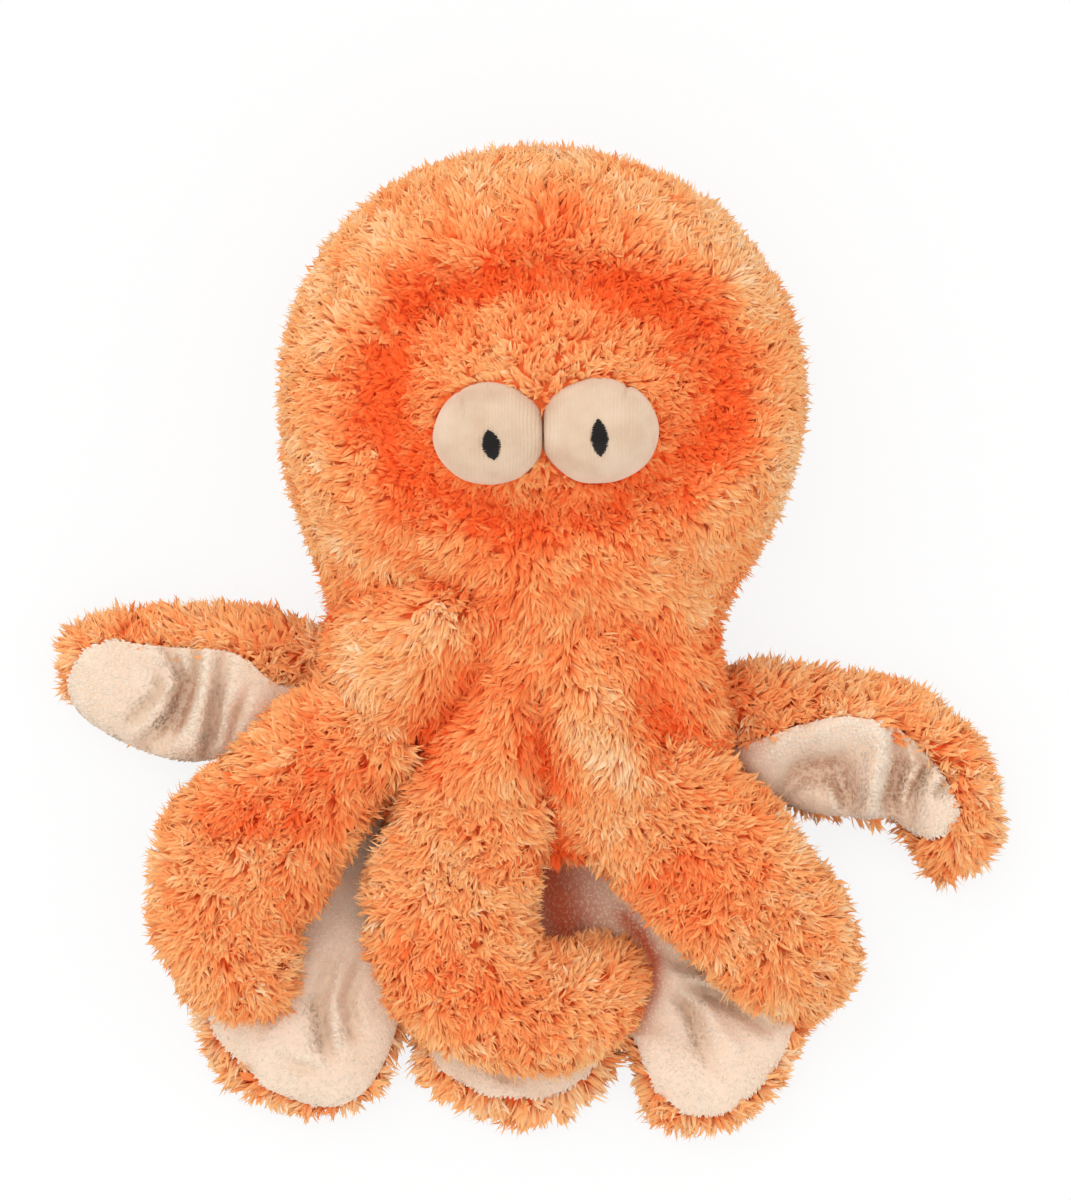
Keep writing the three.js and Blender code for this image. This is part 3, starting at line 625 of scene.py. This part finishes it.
def material_with(name, **values):
    material = bpy.data.materials.new(name)
    material.use_nodes = True
    nodes, link = material.node_tree.nodes, material.node_tree.links.new
    return material, nodes, link, set_up(nodes["Principled BSDF"], **values)


def linear(colour):
    """A colour written as on a screen, from 0 to 255, as the shader takes it."""
    c = np.array(colour, float) / 255
    c = np.where(c <= 0.04045, c / 12.92, ((c + 0.055) / 1.055) ** 2.4)
    return (*c, 1.0)


def ramp(nodes, stops):
    node = nodes.new("ShaderNodeValToRGB")
    elements = node.color_ramp.elements
    while len(elements) < len(stops):
        elements.new(0.5)
    for element, (place, colour) in zip(elements, stops):
        element.position = place
        element.color = linear(colour)
    return node


def pile_material(name, root_colours, tip_colours, to_height):
    """Colour from the map: u is the lock's tone and v its height from root to tip."""
    material, nodes, link, shader = material_with(name, Roughness=0.7, Specular_IOR_Level=0.05)
    uv = set_up(nodes.new("ShaderNodeUVMap"), uv_map="OFBake")
    split = nodes.new("ShaderNodeSeparateXYZ")
    link(uv.outputs["UV"], split.inputs[0])
    rise = set_up(
        nodes.new("ShaderNodeMapRange"), interpolation_type="SMOOTHSTEP", From_Min=0.0, From_Max=to_height)
    link(split.outputs["Y"], rise.inputs["Value"])
    mix = set_up(nodes.new("ShaderNodeMix"), data_type="RGBA")
    link(rise.outputs["Result"], mix.inputs["Factor"])
    for colours, socket in ((root_colours, MIX_A), (tip_colours, MIX_B)):
        tones = ramp(nodes, colours)
        link(split.outputs["X"], tones.inputs[0])
        link(tones.outputs["Color"], mix.inputs[socket])
    link(mix.outputs[MIX_RESULT], shader.inputs["Base Color"])
    return material


def cloth_material(name, colours, roughness, sheen, scale, depth, shaded=None):
    """A knitted backing: colour that varies in patches, a painted shade colour where the shade attribute is set, and a
    fine bump.
    """
    material, nodes, link, shader = material_with(
        name, Roughness=roughness, Specular_IOR_Level=0.2, Sheen_Weight=sheen)
    place = nodes.new("ShaderNodeTexCoord")
    patches = set_up(nodes.new("ShaderNodeTexNoise"), Scale=90, Detail=6)
    grain = set_up(nodes.new("ShaderNodeTexNoise"), Scale=scale, Detail=4)
    for texture in (patches, grain):
        link(place.outputs["Object"], texture.inputs["Vector"])
    colour = ramp(nodes, list(zip((0.3, 0.5, 0.72), colours)))
    link(patches.outputs["Fac"], colour.inputs[0])
    if shaded:
        shade = set_up(nodes.new("ShaderNodeAttribute"), attribute_name="shade")
        mix = set_up(nodes.new("ShaderNodeMix"), data_type="RGBA")
        mix.inputs[MIX_B].default_value = linear(shaded)
        link(shade.outputs["Fac"], mix.inputs["Factor"])
        link(colour.outputs["Color"], mix.inputs[MIX_A])
        link(mix.outputs[MIX_RESULT], shader.inputs["Base Color"])
    else:
        link(colour.outputs["Color"], shader.inputs["Base Color"])
    bump = set_up(nodes.new("ShaderNodeBump"), Strength=0.6, Distance=depth)
    link(grain.outputs["Fac"], bump.inputs["Height"])
    link(bump.outputs["Normal"], shader.inputs["Normal"])
    return material


PILE = pile_material(
    "shaggy_pile", [(0, (255, 66, 18)), (0.5, (255, 112, 48)), (1, (255, 156, 92))],
    [(0, (255, 100, 42)), (0.35, (255, 148, 84)), (0.65, (255, 184, 118)), (0.85, (255, 206, 152)),
     (1, (255, 224, 186))], 0.75)
# The nap's colours at tone 0 are painted shade, reached only deep between the front arms; its low tones also carry the
# painted shade of folds.
NAP = pile_material(
    "lining_nap", [(0, (196, 84, 46)), (0.3, (232, 188, 156)), (0.55, (245, 219, 194)), (1, (255, 236, 216))],
    [(0, (206, 100, 60)), (0.3, (236, 196, 165)), (0.55, (248, 225, 201)), (1, (255, 240, 222))], 0.8)
BACKING = cloth_material("fur_backing", [(255, 100, 44), (255, 118, 58), (255, 136, 72)], 0.9, 0.0, 900, 0.0006)
# The last colour, (196, 84, 46), is painted shade for the lining deep between the front arms.
LINING = cloth_material(
    "lining_plush", [(234, 202, 173), (242, 214, 188), (246, 220, 196)], 0.85, 0.35, 1100, 0.0006, (196, 84, 46))
VELOUR = cloth_material("eye_velour", [(214, 182, 154), (224, 196, 168), (232, 206, 180)], 0.8, 0.3, 1600, 0.0004)
THREAD = cloth_material("pupil_thread", [(16, 13, 11), (24, 20, 17), (38, 32, 27)], 0.55, 0.1, 2500, 0.0002)


# Camera, straight above, before the pieces

camera = add_object("camera", bpy.data.cameras.new("camera"))
camera.data.lens = 200
camera.data.sensor_width = 36
camera.data.clip_end = 30
camera.location = (-0.00218, 0.015185, 2.04)
bpy.context.scene.camera = camera


# The bag

PILE_WIDTH, PILE_SPACING = 1.6, 2.05
rng = np.random.default_rng(5)
ANGLES = np.radians(np.linspace(0, 360, 320, endpoint=False))
FRONT_SHARES = np.concatenate([np.linspace(0.01, 0.9, 90), np.linspace(0.9, 0.99, 20)[1:], [0.996, 0.999, 1.0]])
BACK_SHARES = np.concatenate([[1.0], np.linspace(0.99, 0.7, 26), np.linspace(0.7, 0.02, 14)[1:]])


def bag_grid(inset, shares, is_front):
    angle, share = np.meshgrid(ANGLES, shares)
    points = body_point(angle, share, inset, is_front)
    wobble = noise(points, 14) * 0.9 + noise(points, 6, 1) * 0.35
    if is_front:
        points[..., 2] += wobble * smooth(1.2 - share)
    return points


front = bag_grid(CLOTH_INSET, FRONT_SHARES, True)
back = bag_grid(CLOTH_INSET, BACK_SHARES, False)
bag = tube_piece("bag_cloth", np.concatenate([front, back[1:]]), BACKING)
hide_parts("head_front_panel", "head_back_panel", "head_stuffing")
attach(bag, "bag")


def swirl(points, comb, size, amount, channel):
    """Turns a combing direction in plan by smooth noise."""
    turn = noise(points, size, channel) * amount
    c, s = np.cos(turn), np.sin(turn)
    x, y, z = comb.T
    return np.stack([x * c - y * s, x * s + y * c, z], axis=-1)


def ruffle(points, comb, size):
    return swirl(points, swirl(points, comb, size, 1.2, 0), 5, 0.9, 3)


def hidden_on_bag(corners):
    """Locks on the bag that an arm or an eye would cover or that would stand through one."""
    hidden = np.zeros(len(corners), bool)
    for place in (0, 3, 6, LOCK_TIP):
        at = corners[:, place]
        for eye in EYES.values():
            hidden |= inside_eye(at, eye, -0.7)
        for arm in ARMS.values():
            hidden |= inside_arm(at, arm, 3.5)
    return hidden


def clump_noise(points):
    return noise(points, 12, 2) * 0.14 + noise(points, 5, 3) * 0.2


def front_pile():
    points, normals, i, _ = scatter(front, grid_normals(front, True), True, PILE_SPACING, rng)
    share = np.interp(i, np.arange(len(FRONT_SHARES)), FRONT_SHARES)
    x, y, _ = points.T
    out = points[:, :2] - FACE
    radial = lifted(out / np.maximum(np.hypot(*out.T), 1)[:, None], np.zeros(len(out)))
    reach, groove, head = face_reach(x, y), face_groove(x, y), headness(y)
    comb = ruffle(points, radial * (0.6 + 0.5 * smooth((reach - 0.7) / 0.9))[:, None], 13)
    comb[:, :2] += normals[:, :2] * (0.45 * (1 - head))[:, None]
    comb[:, 2] -= 0.15
    length = 6.0 + 2.4 * smooth((reach - 1) / 0.7) + noise(points, 10, 1) * 0.9 - groove * 0.9
    folds = [crease(x, y, line) for line in BODY_FOLDS]
    valley = np.clip(sum(np.maximum(fold, 0) for fold in folds) / 8, 0, 1.1)
    ridge = np.clip(sum(np.maximum(-fold, 0) for fold in folds) / 5, 0, 1)
    tone = 0.5 + (0.05 + 0.17 * head) * smooth((share - 0.68) / 0.25)
    # Painted shade and light: the pile is deeper in colour in the valleys between the arms and paler on the ridges; in
    # the face's groove it is deeper both because the parted pile shows its roots and as painted shade.
    tone += -0.44 * groove - 0.5 * valley + 0.16 * ridge + clump_noise(points) + paint_light_and_shade(points)
    return locks(points, normals, comb, length, PILE_WIDTH, tone, rng)


def back_pile():
    points, normals, _, _ = scatter(back, grid_normals(back, True), True, 2.6, rng)
    radial = lifted(unit(points[:, :2] - FACE), np.zeros(len(points)))
    comb = swirl(points, radial * 0.7, 15, 1.0, 1)
    comb[:, 2] += 0.1
    under = smooth((14 - points[:, 2]) / 12)
    length = 8.4 - 2.5 * under + noise(points, 10, 1) * 0.8
    # Painted shade: the pile is deeper in colour low down, under the bag near the floor.
    tone = 0.66 - 0.15 * under + clump_noise(points)
    return locks(points, normals, comb, length, 1.8, tone, rng, each=5, spread=1.9)


MOST_LOCKS = 12000  # the most locks in a piece; in a piece, so that its exported mesh keeps its shape


def split_pile(name, corners, faces, tones):
    """Writes the bag's locks as one piece for each sector."""
    shown = ~hidden_on_bag(corners)
    corners, faces, tones = corners[shown], faces[shown], tones[shown]
    angle = np.arctan2(corners[:, 0, 1] - FACE[1], corners[:, 0, 0] - FACE[0])
    sectors = np.array_split(np.argsort(angle), int(np.ceil(len(corners) / MOST_LOCKS)))
    return [pile_piece(f"{name}_{k + 1}", corners[i], faces[i], tones[i], PILE) for k, i in enumerate(sectors)]


for label, pile in (("front_pile", front_pile()), ("back_pile", back_pile())):
    for piece in split_pile(label, *pile):
        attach(piece, "bag")


# The hub's plush panel between the front and the back arms

panel_angle, panel_height = np.meshgrid(np.radians(np.linspace(234, 298, 60)), np.linspace(0, 1, 12))


def panel_grid(extra):
    edge = body_point(panel_angle, np.full(panel_angle.shape, 0.999), CLOTH_INSET - extra, True)
    crotch = np.exp(-(((np.degrees(panel_angle) - 271) / 4) ** 2))  # where it is lower, between two front arms
    edge[..., 2] = 4 + (25 - 6 * crotch) * panel_height
    return edge


panel = shell_piece("base_panel_cloth", panel_grid(1.6), panel_grid(-0.4), LINING)
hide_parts("base_panel")
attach(panel, "bag")


# Arms

# The linings' folds, and where negative their rolls: (u, v, depth, width)
LINING_FOLDS = {
    "side_left": [
        [(137, 650, 0, 2.4), (160, 672, 3.5, 2.2), (159, 694, 4.5, 2.2), (134, 722, 3, 2.4)],
        [(168, 645, 2, 2.2), (181, 684, 8, 2.4), (170, 718, 8, 2.4), (142, 748, 5, 2.6)],
        [(197, 645, 2, 1.8), (192, 684, 6, 1.9), (179, 722, 6, 1.9), (162, 752, 2, 2)],
        [(226, 655, 2, 2), (216, 700, 5, 2), (210, 740, 5, 2), (202, 765, 1, 2)],
        [(252, 680, 0, 1.9), (238, 715, 3, 1.9), (228, 745, 1, 1.9)],
        [(150, 655, -1, 4), (168, 685, -2.5, 3), (150, 730, -2, 3)],
        [(206, 655, -1, 2.4), (203, 700, -2.4, 2.2), (192, 750, -2, 2.4)],
    ],
    "side_right": [
        [(784, 800, 5, 5), (806, 776, 9, 5), (838, 772, 11, 5), (850, 800, 9, 4.6)],
        [(796, 802, -3, 2.6), (808, 790, -3, 2.4)], [(834, 792, -4, 2.4), (838, 806, -4, 2.4)],
        [(896, 730, 2, 2.6), (904, 765, 9, 3.2), (894, 800, 9, 3.2), (900, 824, 4, 3)],
        [(914, 744, 2, 1.8), (930, 768, 6, 2), (918, 792, 7, 2), (912, 822, 3, 2)],
        [(930, 752, 1, 1.6), (954, 778, 5, 1.8), (940, 796, 4, 1.8)],
        [(738, 782, -2, 5), (784, 738, -4, 4.6), (848, 718, -5, 5.4), (884, 738, -4, 4.4), (874, 780, -6, 3.4),
         (868, 812, -5, 3.4)],
        [(950, 806, -4, 7), (938, 832, -3, 6)],
    ],
    "back_left": [
        [(346, 930, 0, 3), (330, 967, 3, 3), (317, 1007, 6, 2.8), (323, 1047, 6, 2.6), (334, 1070, 1, 2.6)],
        [(372, 950, 0, 3), (358, 975, 3, 2.6), (346, 1004, 5, 2.4), (352, 1036, 3, 2.4)],
        [(290, 970, 0, 2.2), (268, 1013, 3.6, 2.2), (254, 1040, 1, 2.2)],
        [(340, 960, 0, 3), (332, 1000, -2, 2.6), (338, 1050, -1, 3)],
        [(270, 1058, 0, 2), (300, 1072, 2.6, 2), (336, 1076, 0, 2)],
        [(240, 1050, 0, 2), (246, 1080, 2, 2)],
    ],
    "back_middle": [
        [(480, 1060, 0, 3), (505, 1080, 3, 2.4), (530, 1088, 0, 2.4)],
    ],
    "back_right": [
        [(662, 960, 1, 2.2), (707, 975, 7, 2.2), (737, 982, 6, 2.2), (776, 996, 4, 2.2)],
        [(680, 983, 0, 2.2), (710, 998, 7, 2.2), (737, 1011, 6, 2.2), (766, 1032, 3, 2.2)],
        [(676, 994, 1, 2.2), (692, 1014, 7, 2.2), (700, 1036, 6, 2.2), (712, 1068, 2, 2.2)],
        [(712, 986, -2, 2), (764, 1014, -2, 2)], [(706, 1010, -2, 2.2), (734, 1050, -1.5, 2.6)],
    ],
}
# Painted shade and light on a lining: darker in its hollows and folds, lighter on its ridges and where the arms over
# it shade it: (u, v, half width, half height, change)
LINING_LIGHT_AND_SHADE_PATCHES = [
    (826, 786, 30, 20, -0.14), (912, 782, 22, 34, -0.14),
    (172, 712, 18, 44, -0.10), (748, 800, 14, 16, -0.10), (480, 1062, 30, 10, -0.1), (345, 950, 26, 60, 0.22),
    (700, 935, 50, 40, 0.2), (700, 1030, 60, 60, 0.06), (290, 1050, 60, 50, 0.05), (850, 725, 60, 26, 0.12),
]


# Painted shade deep between the front arms, where a back arm's lining lies in shadow and takes a red-brown colour: (u,
# v, share, width)
LINING_SHADE = [
    [(546, 874, 0.95, 12), (556, 900, 0.95, 13), (566, 935, 0.95, 12)],
    [(612, 906, 0, 3), (626, 922, 0.8, 3), (642, 940, 0.95, 3.2), (655, 964, 0.95, 3.4), (654, 992, 0.8, 3.2),
     (640, 1024, 0.7, 3)],
]


GAP_MIDDLE, GAP_REACH = photo(594, 912), 20  # of what shows of the back arms between the front ones


# How deep in painted shade each point of a back arm's lining lies, from 0 to 1.
def lining_shade(name, points):
    if not name.startswith("back"):
        return np.zeros(points.shape[:-1])
    return np.clip(sum(crease(points[..., 0], points[..., 1], line) for line in LINING_SHADE), 0, 1)


def arm_relief(name):
    """How far the folds draw an arm's surface in over a place, or None."""
    lines = LINING_FOLDS.get(name)
    deepest = 11 if name.startswith("side") else 7
    return lines and (lambda x, y: np.minimum(sum(crease(x, y, line) for line in lines), deepest))


def arm_grid(arm, relief, distances, angles, inset):
    """An arm's surface at every distance and angle, or at the angles given for each distance."""
    distance = np.broadcast_to(distances[:, None], (len(distances), np.shape(angles)[-1]))
    angle = np.broadcast_to(angles, distance.shape)
    points = arm_point(arm, distance, angle, inset, relief)
    lumps = noise(points, 17, 1) * 0.64 + noise(points, 8, 2) * 0.36
    points = points + unit(points - station(arm, distance)["core"]) * lumps[..., None]
    points[..., 2] = np.maximum(points[..., 2], LOWEST_ARM)
    return points


def ride_arm(piece, arm, a, b, at, heading, before, after):
    """Bakes a piece's transform into its mesh; the arm, the bodies, the joint's place and heading, and the reach
    before and after it are not used.
    """
    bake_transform(piece)


LINING_ROUND = 9  # length over which the lining's end narrows


def lining_end(arm):
    return arm["total"] - arm.get("lining_short", 2)


def lining_span(arm, distance):
    """The angles between which the lining lies at each distance."""
    low, high = (sample(limits, distance / arm["total"]) for limits in arm["lining"])
    high = np.maximum(high, low + 4)
    narrowing = np.clip((distance - (lining_end(arm) - LINING_ROUND)) / LINING_ROUND, 0, 1)
    half = (high - low) / 2 * (1 - 0.45 * narrowing ** 2.5)
    return (low + high) / 2 - half, (low + high) / 2 + half


def outward_normals(grid, wraps, middle):
    normals = grid_normals(grid, wraps)
    return normals * np.sign(((grid - middle) * normals).sum())


NAP_LENGTH, NAP_WIDTH = 1.9, 0.72
HIDDEN_NAP, BACK_NAP, SIDE_NAP = 2, 1.35, 1.1  # spacings: under the front arms, on back arms and on side arms


def lining_nap(name, grid, middle, heading, relief, spacing, thin_to):
    """Short plush on a lining, thinner up to a share of the way along it."""
    normals = outward_normals(grid, False, middle)
    points, normals, i, _ = scatter(grid, normals, False, spacing, rng)
    in_view = np.hypot(points[:, 0] - GAP_MIDDLE[0], points[:, 1] - GAP_MIDDLE[1]) < GAP_REACH
    kept = (i > thin_to * len(heading)) | (rng.uniform(size=len(points)) < 0.3) | in_view
    points, normals, i = points[kept], normals[kept], i[kept]
    ahead = bearing(np.interp(i, np.arange(len(heading)), heading))
    comb = swirl(points, lifted(ahead * 1.3, np.zeros(len(points))), 9, 1.3, 2)
    fold = relief(points[:, 0], points[:, 1]) if relief else np.zeros(len(points))
    # Painted shade and light: the nap is darker where the folds draw the lining in and paler on its rolls, with the
    # patches' painted shade and light.
    tone = 0.66 - 0.06 * np.clip(fold, -3, 8) + noise(points, 7, 3) * 0.05 + paint_light_and_shade(points, LINING_LIGHT_AND_SHADE_PATCHES)
    shade = lining_shade(name, points)
    # Painted shade: deep between the front arms, the nap's tone falls to the red-brown of tone 0.
    tone = np.maximum(tone, 0.26) * (1 - shade) + 0.04 * shade
    length = np.full(len(points), NAP_LENGTH)
    made = locks(
        points, normals, comb, length, NAP_WIDTH, tone, rng, each=4, spread=0.7, stray=0.22, jitter=0.25, soft=4)
    return pile_piece(name, *made, NAP)


def arm_segment(name, arm, label, low, high, bodies, joint_at, joint_heading, reach):
    """The cloths and the pile of one stretch of an arm."""
    relief = arm_relief(name)
    is_back, is_tip = name.startswith("back"), high > arm["total"] - 1
    if is_tip:
        tip = arm["total"] - arm["tip"] + arm["tip"] * np.sin(np.radians(np.linspace(0, 86, 26)))
        straight = np.linspace(low, tip[0], max(int((tip[0] - low) / 1.2), 4))
        distances = np.concatenate([straight[:-1], tip])
    else:
        distances = np.linspace(low, high, max(int((high - low) / 1.2), 4))
    round_angles = np.linspace(0, 360, 80, endpoint=False)
    sunk = relief and (lambda x, y: relief(x, y) + 1.4)  # so that the lining's folds clear it
    seen = arm["lining"] != DOWN
    grid = arm_grid(arm, sunk, distances, round_angles, CLOTH_INSET if seen else CLOTH_INSET - 1)
    cloth = tube_piece(f"{label}_fur_cloth", grid, BACKING, has_flat_ends=True)
    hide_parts(f"{label}_fur", f"{label}_stuffing")

    lining_low = arm.get("lining_from", -1) * arm["total"]
    start, end = max(low, lining_low if "lining_from" in arm else 0), min(high, lining_end(arm))
    along = np.linspace(start, end, max(int((end - start) / 0.7), 4))
    first, last = lining_span(arm, along)
    around = first[:, None] + (last - first)[:, None] * np.linspace(0, 1, 84)[None]
    outside = arm_grid(arm, relief, along, around, CLOTH_INSET - 1.4 - arm.get("plump", 0.6))
    inside = arm_grid(arm, relief, along, around, CLOTH_INSET + 0.4)
    lining = shell_piece(f"{label}_lining_cloth", outside, inside, LINING, lining_shade(name, outside))
    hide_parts(f"{label}_lining")

    spacing = (BACK_NAP if is_back else SIDE_NAP) if seen else HIDDEN_NAP
    s = station(arm, along)
    nap = lining_nap(
        f"{label}_lining_nap", outside, s["core"][:, None], s["heading"], relief, spacing, 0.45 if is_back else 0)

    normals = outward_normals(grid, True, station(arm, distances)["core"][:, None])
    points, normals, i, j = scatter(grid, normals, True, PILE_SPACING, rng)
    distance = np.interp(i, np.arange(len(distances)), distances)
    angle = j * 360 / len(round_angles)
    first, last = lining_span(arm, distance)
    turned = (angle - first) % 360
    lined = ((distance < end - 0.5) | (not is_tip)) & (distance > lining_low)
    bare = (turned > 2) & (turned < last - first - 5) & lined
    outward = points - station(arm, np.maximum(distance - 4, -ROOT_DEPTH))["core"]
    keep = ~bare & (distance > -8) & ((unit(outward) * normals).sum(axis=-1) > 0.1)
    points, normals, distance, angle = points[keep], normals[keep], distance[keep], angle[keep]
    heading = sample(arm["headings"], distance / arm["total"])
    across = bearing(heading + 90) * np.cos(np.radians(angle))[:, None]
    ahead = bearing(heading)
    into_tip = smooth((distance - arm["total"] + 14) / 12)[:, None]
    plan = across * (0.85 - 0.2 * into_tip) + ahead * (0.55 + 0.4 * into_tip)
    comb = ruffle(points, lifted(plan, np.full(len(plan), -0.1)), 12)
    length = 8.6 + noise(points, 9, 1) * 1.0 + noise(points, 4, 0) * 1.0
    flank = np.abs(np.cos(np.radians(angle)))
    # The patches add painted shade in the crevices and painted light on the ridges.
    tone = 0.54 + 0.08 * flank ** 3 + clump_noise(points) + paint_light_and_shade(points) + (0.08 if seen else 0)
    tone += 0.10 * smooth((distance / arm["total"] - 0.7) / 0.3)
    corners, faces, tones = locks(points, normals, comb, length, PILE_WIDTH, tone, rng)
    tip_distance, tip_angle = place_on_arm(corners[:, LOCK_TIP], arm)
    first, last = lining_span(arm, tip_distance)
    turned = (tip_angle - first) % 360
    hidden = (turned > 6) & (turned < last - first - 6) & (tip_distance < lining_end(arm) - 2)
    hidden &= tip_distance > lining_low
    for other, other_arm in ARMS.items():
        if other != name:
            for place in (3, 6, LOCK_TIP):
                hidden |= inside_arm(corners[:, place], other_arm, 4.5)
    pile = pile_piece(f"{label}_pile", corners[~hidden], faces[~hidden], tones[~hidden], PILE)
    for piece in (cloth, lining, nap, pile):
        ride_arm(piece, arm, *bodies, joint_at, joint_heading, *reach)


TIP_OVERLAP = 15  # of a tip before its bend

for name, arm in ARMS.items():
    root = station(arm, [0.0])["place"][0]
    body, tip = f"{name}_arm", f"{name}_tip"
    bend = arm["total"] * arm.get("elbow", 0)
    split = bend - TIP_OVERLAP if bend else arm["total"]
    arm_segment(name, arm, body, -ROOT_DEPTH, split, ("bag", body), root, arm["direction"], (8, 8))
    if bend:
        at = station(arm, [bend])
        place, heading = at["place"][0], float(at["heading"][0])
        arm_segment(name, arm, tip, split, arm["total"], (body, tip), place, heading, (8, 6))


# Eyes

def eye_surface(eye, x, y):
    """Height of an eye's surface over a place in plan."""
    wide, long, high = np.array(eye["sizes"]) * EYE_RADIUS
    middle = eye_middle(eye)
    left = 1 - ((x - middle[0]) / wide) ** 2 - ((y - middle[1]) / long) ** 2
    return middle[2] + high * np.sqrt(np.maximum(left, 0))


RIB_SPACING = 1.1
STITCH_SPACING, STITCH_HALF_THICKNESS = 0.36, 0.27
STITCH_RINGS, STITCH_SIDES = 9, 6
STITCH_ENDS = np.array([[3, 2, 1, 0], [5, 4, 3, 0], [48, 49, 50, 51], [48, 51, 52, 53]])


def eye_piece(side, eye):
    wide, long, high = np.array(eye["sizes"]) * EYE_RADIUS
    middle = eye_middle(eye)
    turn, down = np.meshgrid(np.linspace(0, 360, 260, endpoint=False), np.linspace(0.5, 179.5, 150))
    turn, down = np.radians(turn), np.radians(down)
    points = np.stack([
        wide * np.sin(down) * np.cos(turn), long * np.sin(down) * np.sin(turn), high * np.cos(down),
    ], axis=-1) + middle
    normals = unit((points - middle) / np.array([wide, long, high]) ** 2)
    x, y = points[..., 0], points[..., 1]
    across = x + noise(points * [1, 0.35, 0.35], 6) * 0.9
    ribs = np.sin(across * 2 * np.pi / RIB_SPACING) * 0.13 * smooth(normals[..., 2] / 0.6)
    dents = noise(points, 7, 1) * 0.35 - crease(x, y, eye["dart"])
    points = points + normals * (ribs + dents)[..., None]
    way = 1 if side == "left" else -1
    clear = way * (EYE_MEET - points[..., 0])
    points[..., 0] = EYE_MEET - way * (clear + np.sqrt(clear ** 2 + 0.8)) / 2
    piece = tube_piece(f"{side}_eye_cloth", points, VELOUR)
    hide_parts(f"{side}_eye_cover", f"{side}_eye_stuffing")
    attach(piece, "bag")


def pupil_piece(side, eye):
    """Satin stitches laid across an almond."""
    middle = eye_middle(eye)
    aside, forward, half_width, half_height = np.array(eye["pupil"]) * EYE_RADIUS
    lean = np.radians(eye["lean"])
    x_way, y_way = np.array([np.cos(lean), np.sin(lean)]), np.array([-np.sin(lean), np.cos(lean)])
    centre = middle[:2] + [aside, forward]
    rings, faces = [], []
    rows = int(half_height * 2 / STITCH_SPACING)
    turn = np.radians(np.linspace(0, 360, STITCH_SIDES, endpoint=False))
    for row in range(rows):
        level = (row + 0.5) / rows * 2 - 1
        half = max(half_width * (1 - abs(level) ** 1.9) ** 0.75 + rng.uniform(-0.12, 0.22), 0.3)
        along = np.linspace(-1, 1, STITCH_RINGS)
        ahead = level * half_height + along * rng.uniform(-0.12, 0.12)
        plan = centre + x_way * (along * half)[:, None] + y_way * ahead[:, None]
        z = eye_surface(eye, plan[:, 0], plan[:, 1])
        lift = 0.35 + 0.35 * (1 - along ** 2)
        size = (STITCH_HALF_THICKNESS * np.sqrt(np.maximum(1.02 - along ** 4, 0.05)))[:, None]
        outline = plan[:, None] + y_way * (np.cos(turn) * size)[..., None]
        ring = lifted(outline, (z + lift)[:, None] + np.sin(turn) * size)
        start = row * STITCH_RINGS * STITCH_SIDES
        rings.append(ring.reshape(-1, 3))
        faces += [grid_faces(STITCH_RINGS, STITCH_SIDES, True, start), STITCH_ENDS + start]
    quads = np.vstack(faces)
    piece = new_piece(f"{side}_pupil_stitches", np.vstack(rings), quads.ravel(), np.full(len(quads), 4), THREAD)
    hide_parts(f"{side}_pupil")
    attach(piece, "bag")


for side, eye in EYES.items():
    eye_piece(side, eye)
    pupil_piece(side, eye)


# Floor and light

floor_mesh = bpy.data.meshes.new("floor")
floor_mesh.from_pydata([(-6, -6, 0), (6, -6, 0), (6, 6, 0), (-6, 6, 0)], [], [(0, 1, 2, 3)])
floor = add_object("floor", floor_mesh)
floor_material, nodes, link, shader = material_with(
    "floor", Base_Color=(0.9, 0.9, 0.9, 1), Roughness=1, Specular_IOR_Level=0)
rays = nodes.new("ShaderNodeLightPath")
share = set_up(nodes.new("ShaderNodeMath"), operation="MULTIPLY")
share.inputs[1].default_value = 0.85  # of white in what the camera sees, so that the shadow still shows
link(rays.outputs["Is Camera Ray"], share.inputs[0])
white = set_up(nodes.new("ShaderNodeEmission"), Strength=1)
both = nodes.new("ShaderNodeMixShader")
for socket, output in enumerate((share.outputs[0], shader.outputs[0], white.outputs[0])):
    link(output, both.inputs[socket])
link(both.outputs[0], nodes["Material Output"].inputs["Surface"])
floor_mesh.materials.append(floor_material)

world = bpy.data.worlds.new("world")
bpy.context.scene.world = world
world.use_nodes = True
set_up(world.node_tree.nodes["Background"], Color=(1, 1, 1, 1), Strength=1.03)

sun = add_object("sun", bpy.data.lights.new("sun", "SUN"))
sun.data.energy = 0.5
sun.data.angle = np.radians(35)
sun.rotation_euler = Vector((-0.45, 0.6, 1.0)).to_track_quat("Z", "Y").to_euler()

bpy.context.scene.view_settings.view_transform = "Standard"
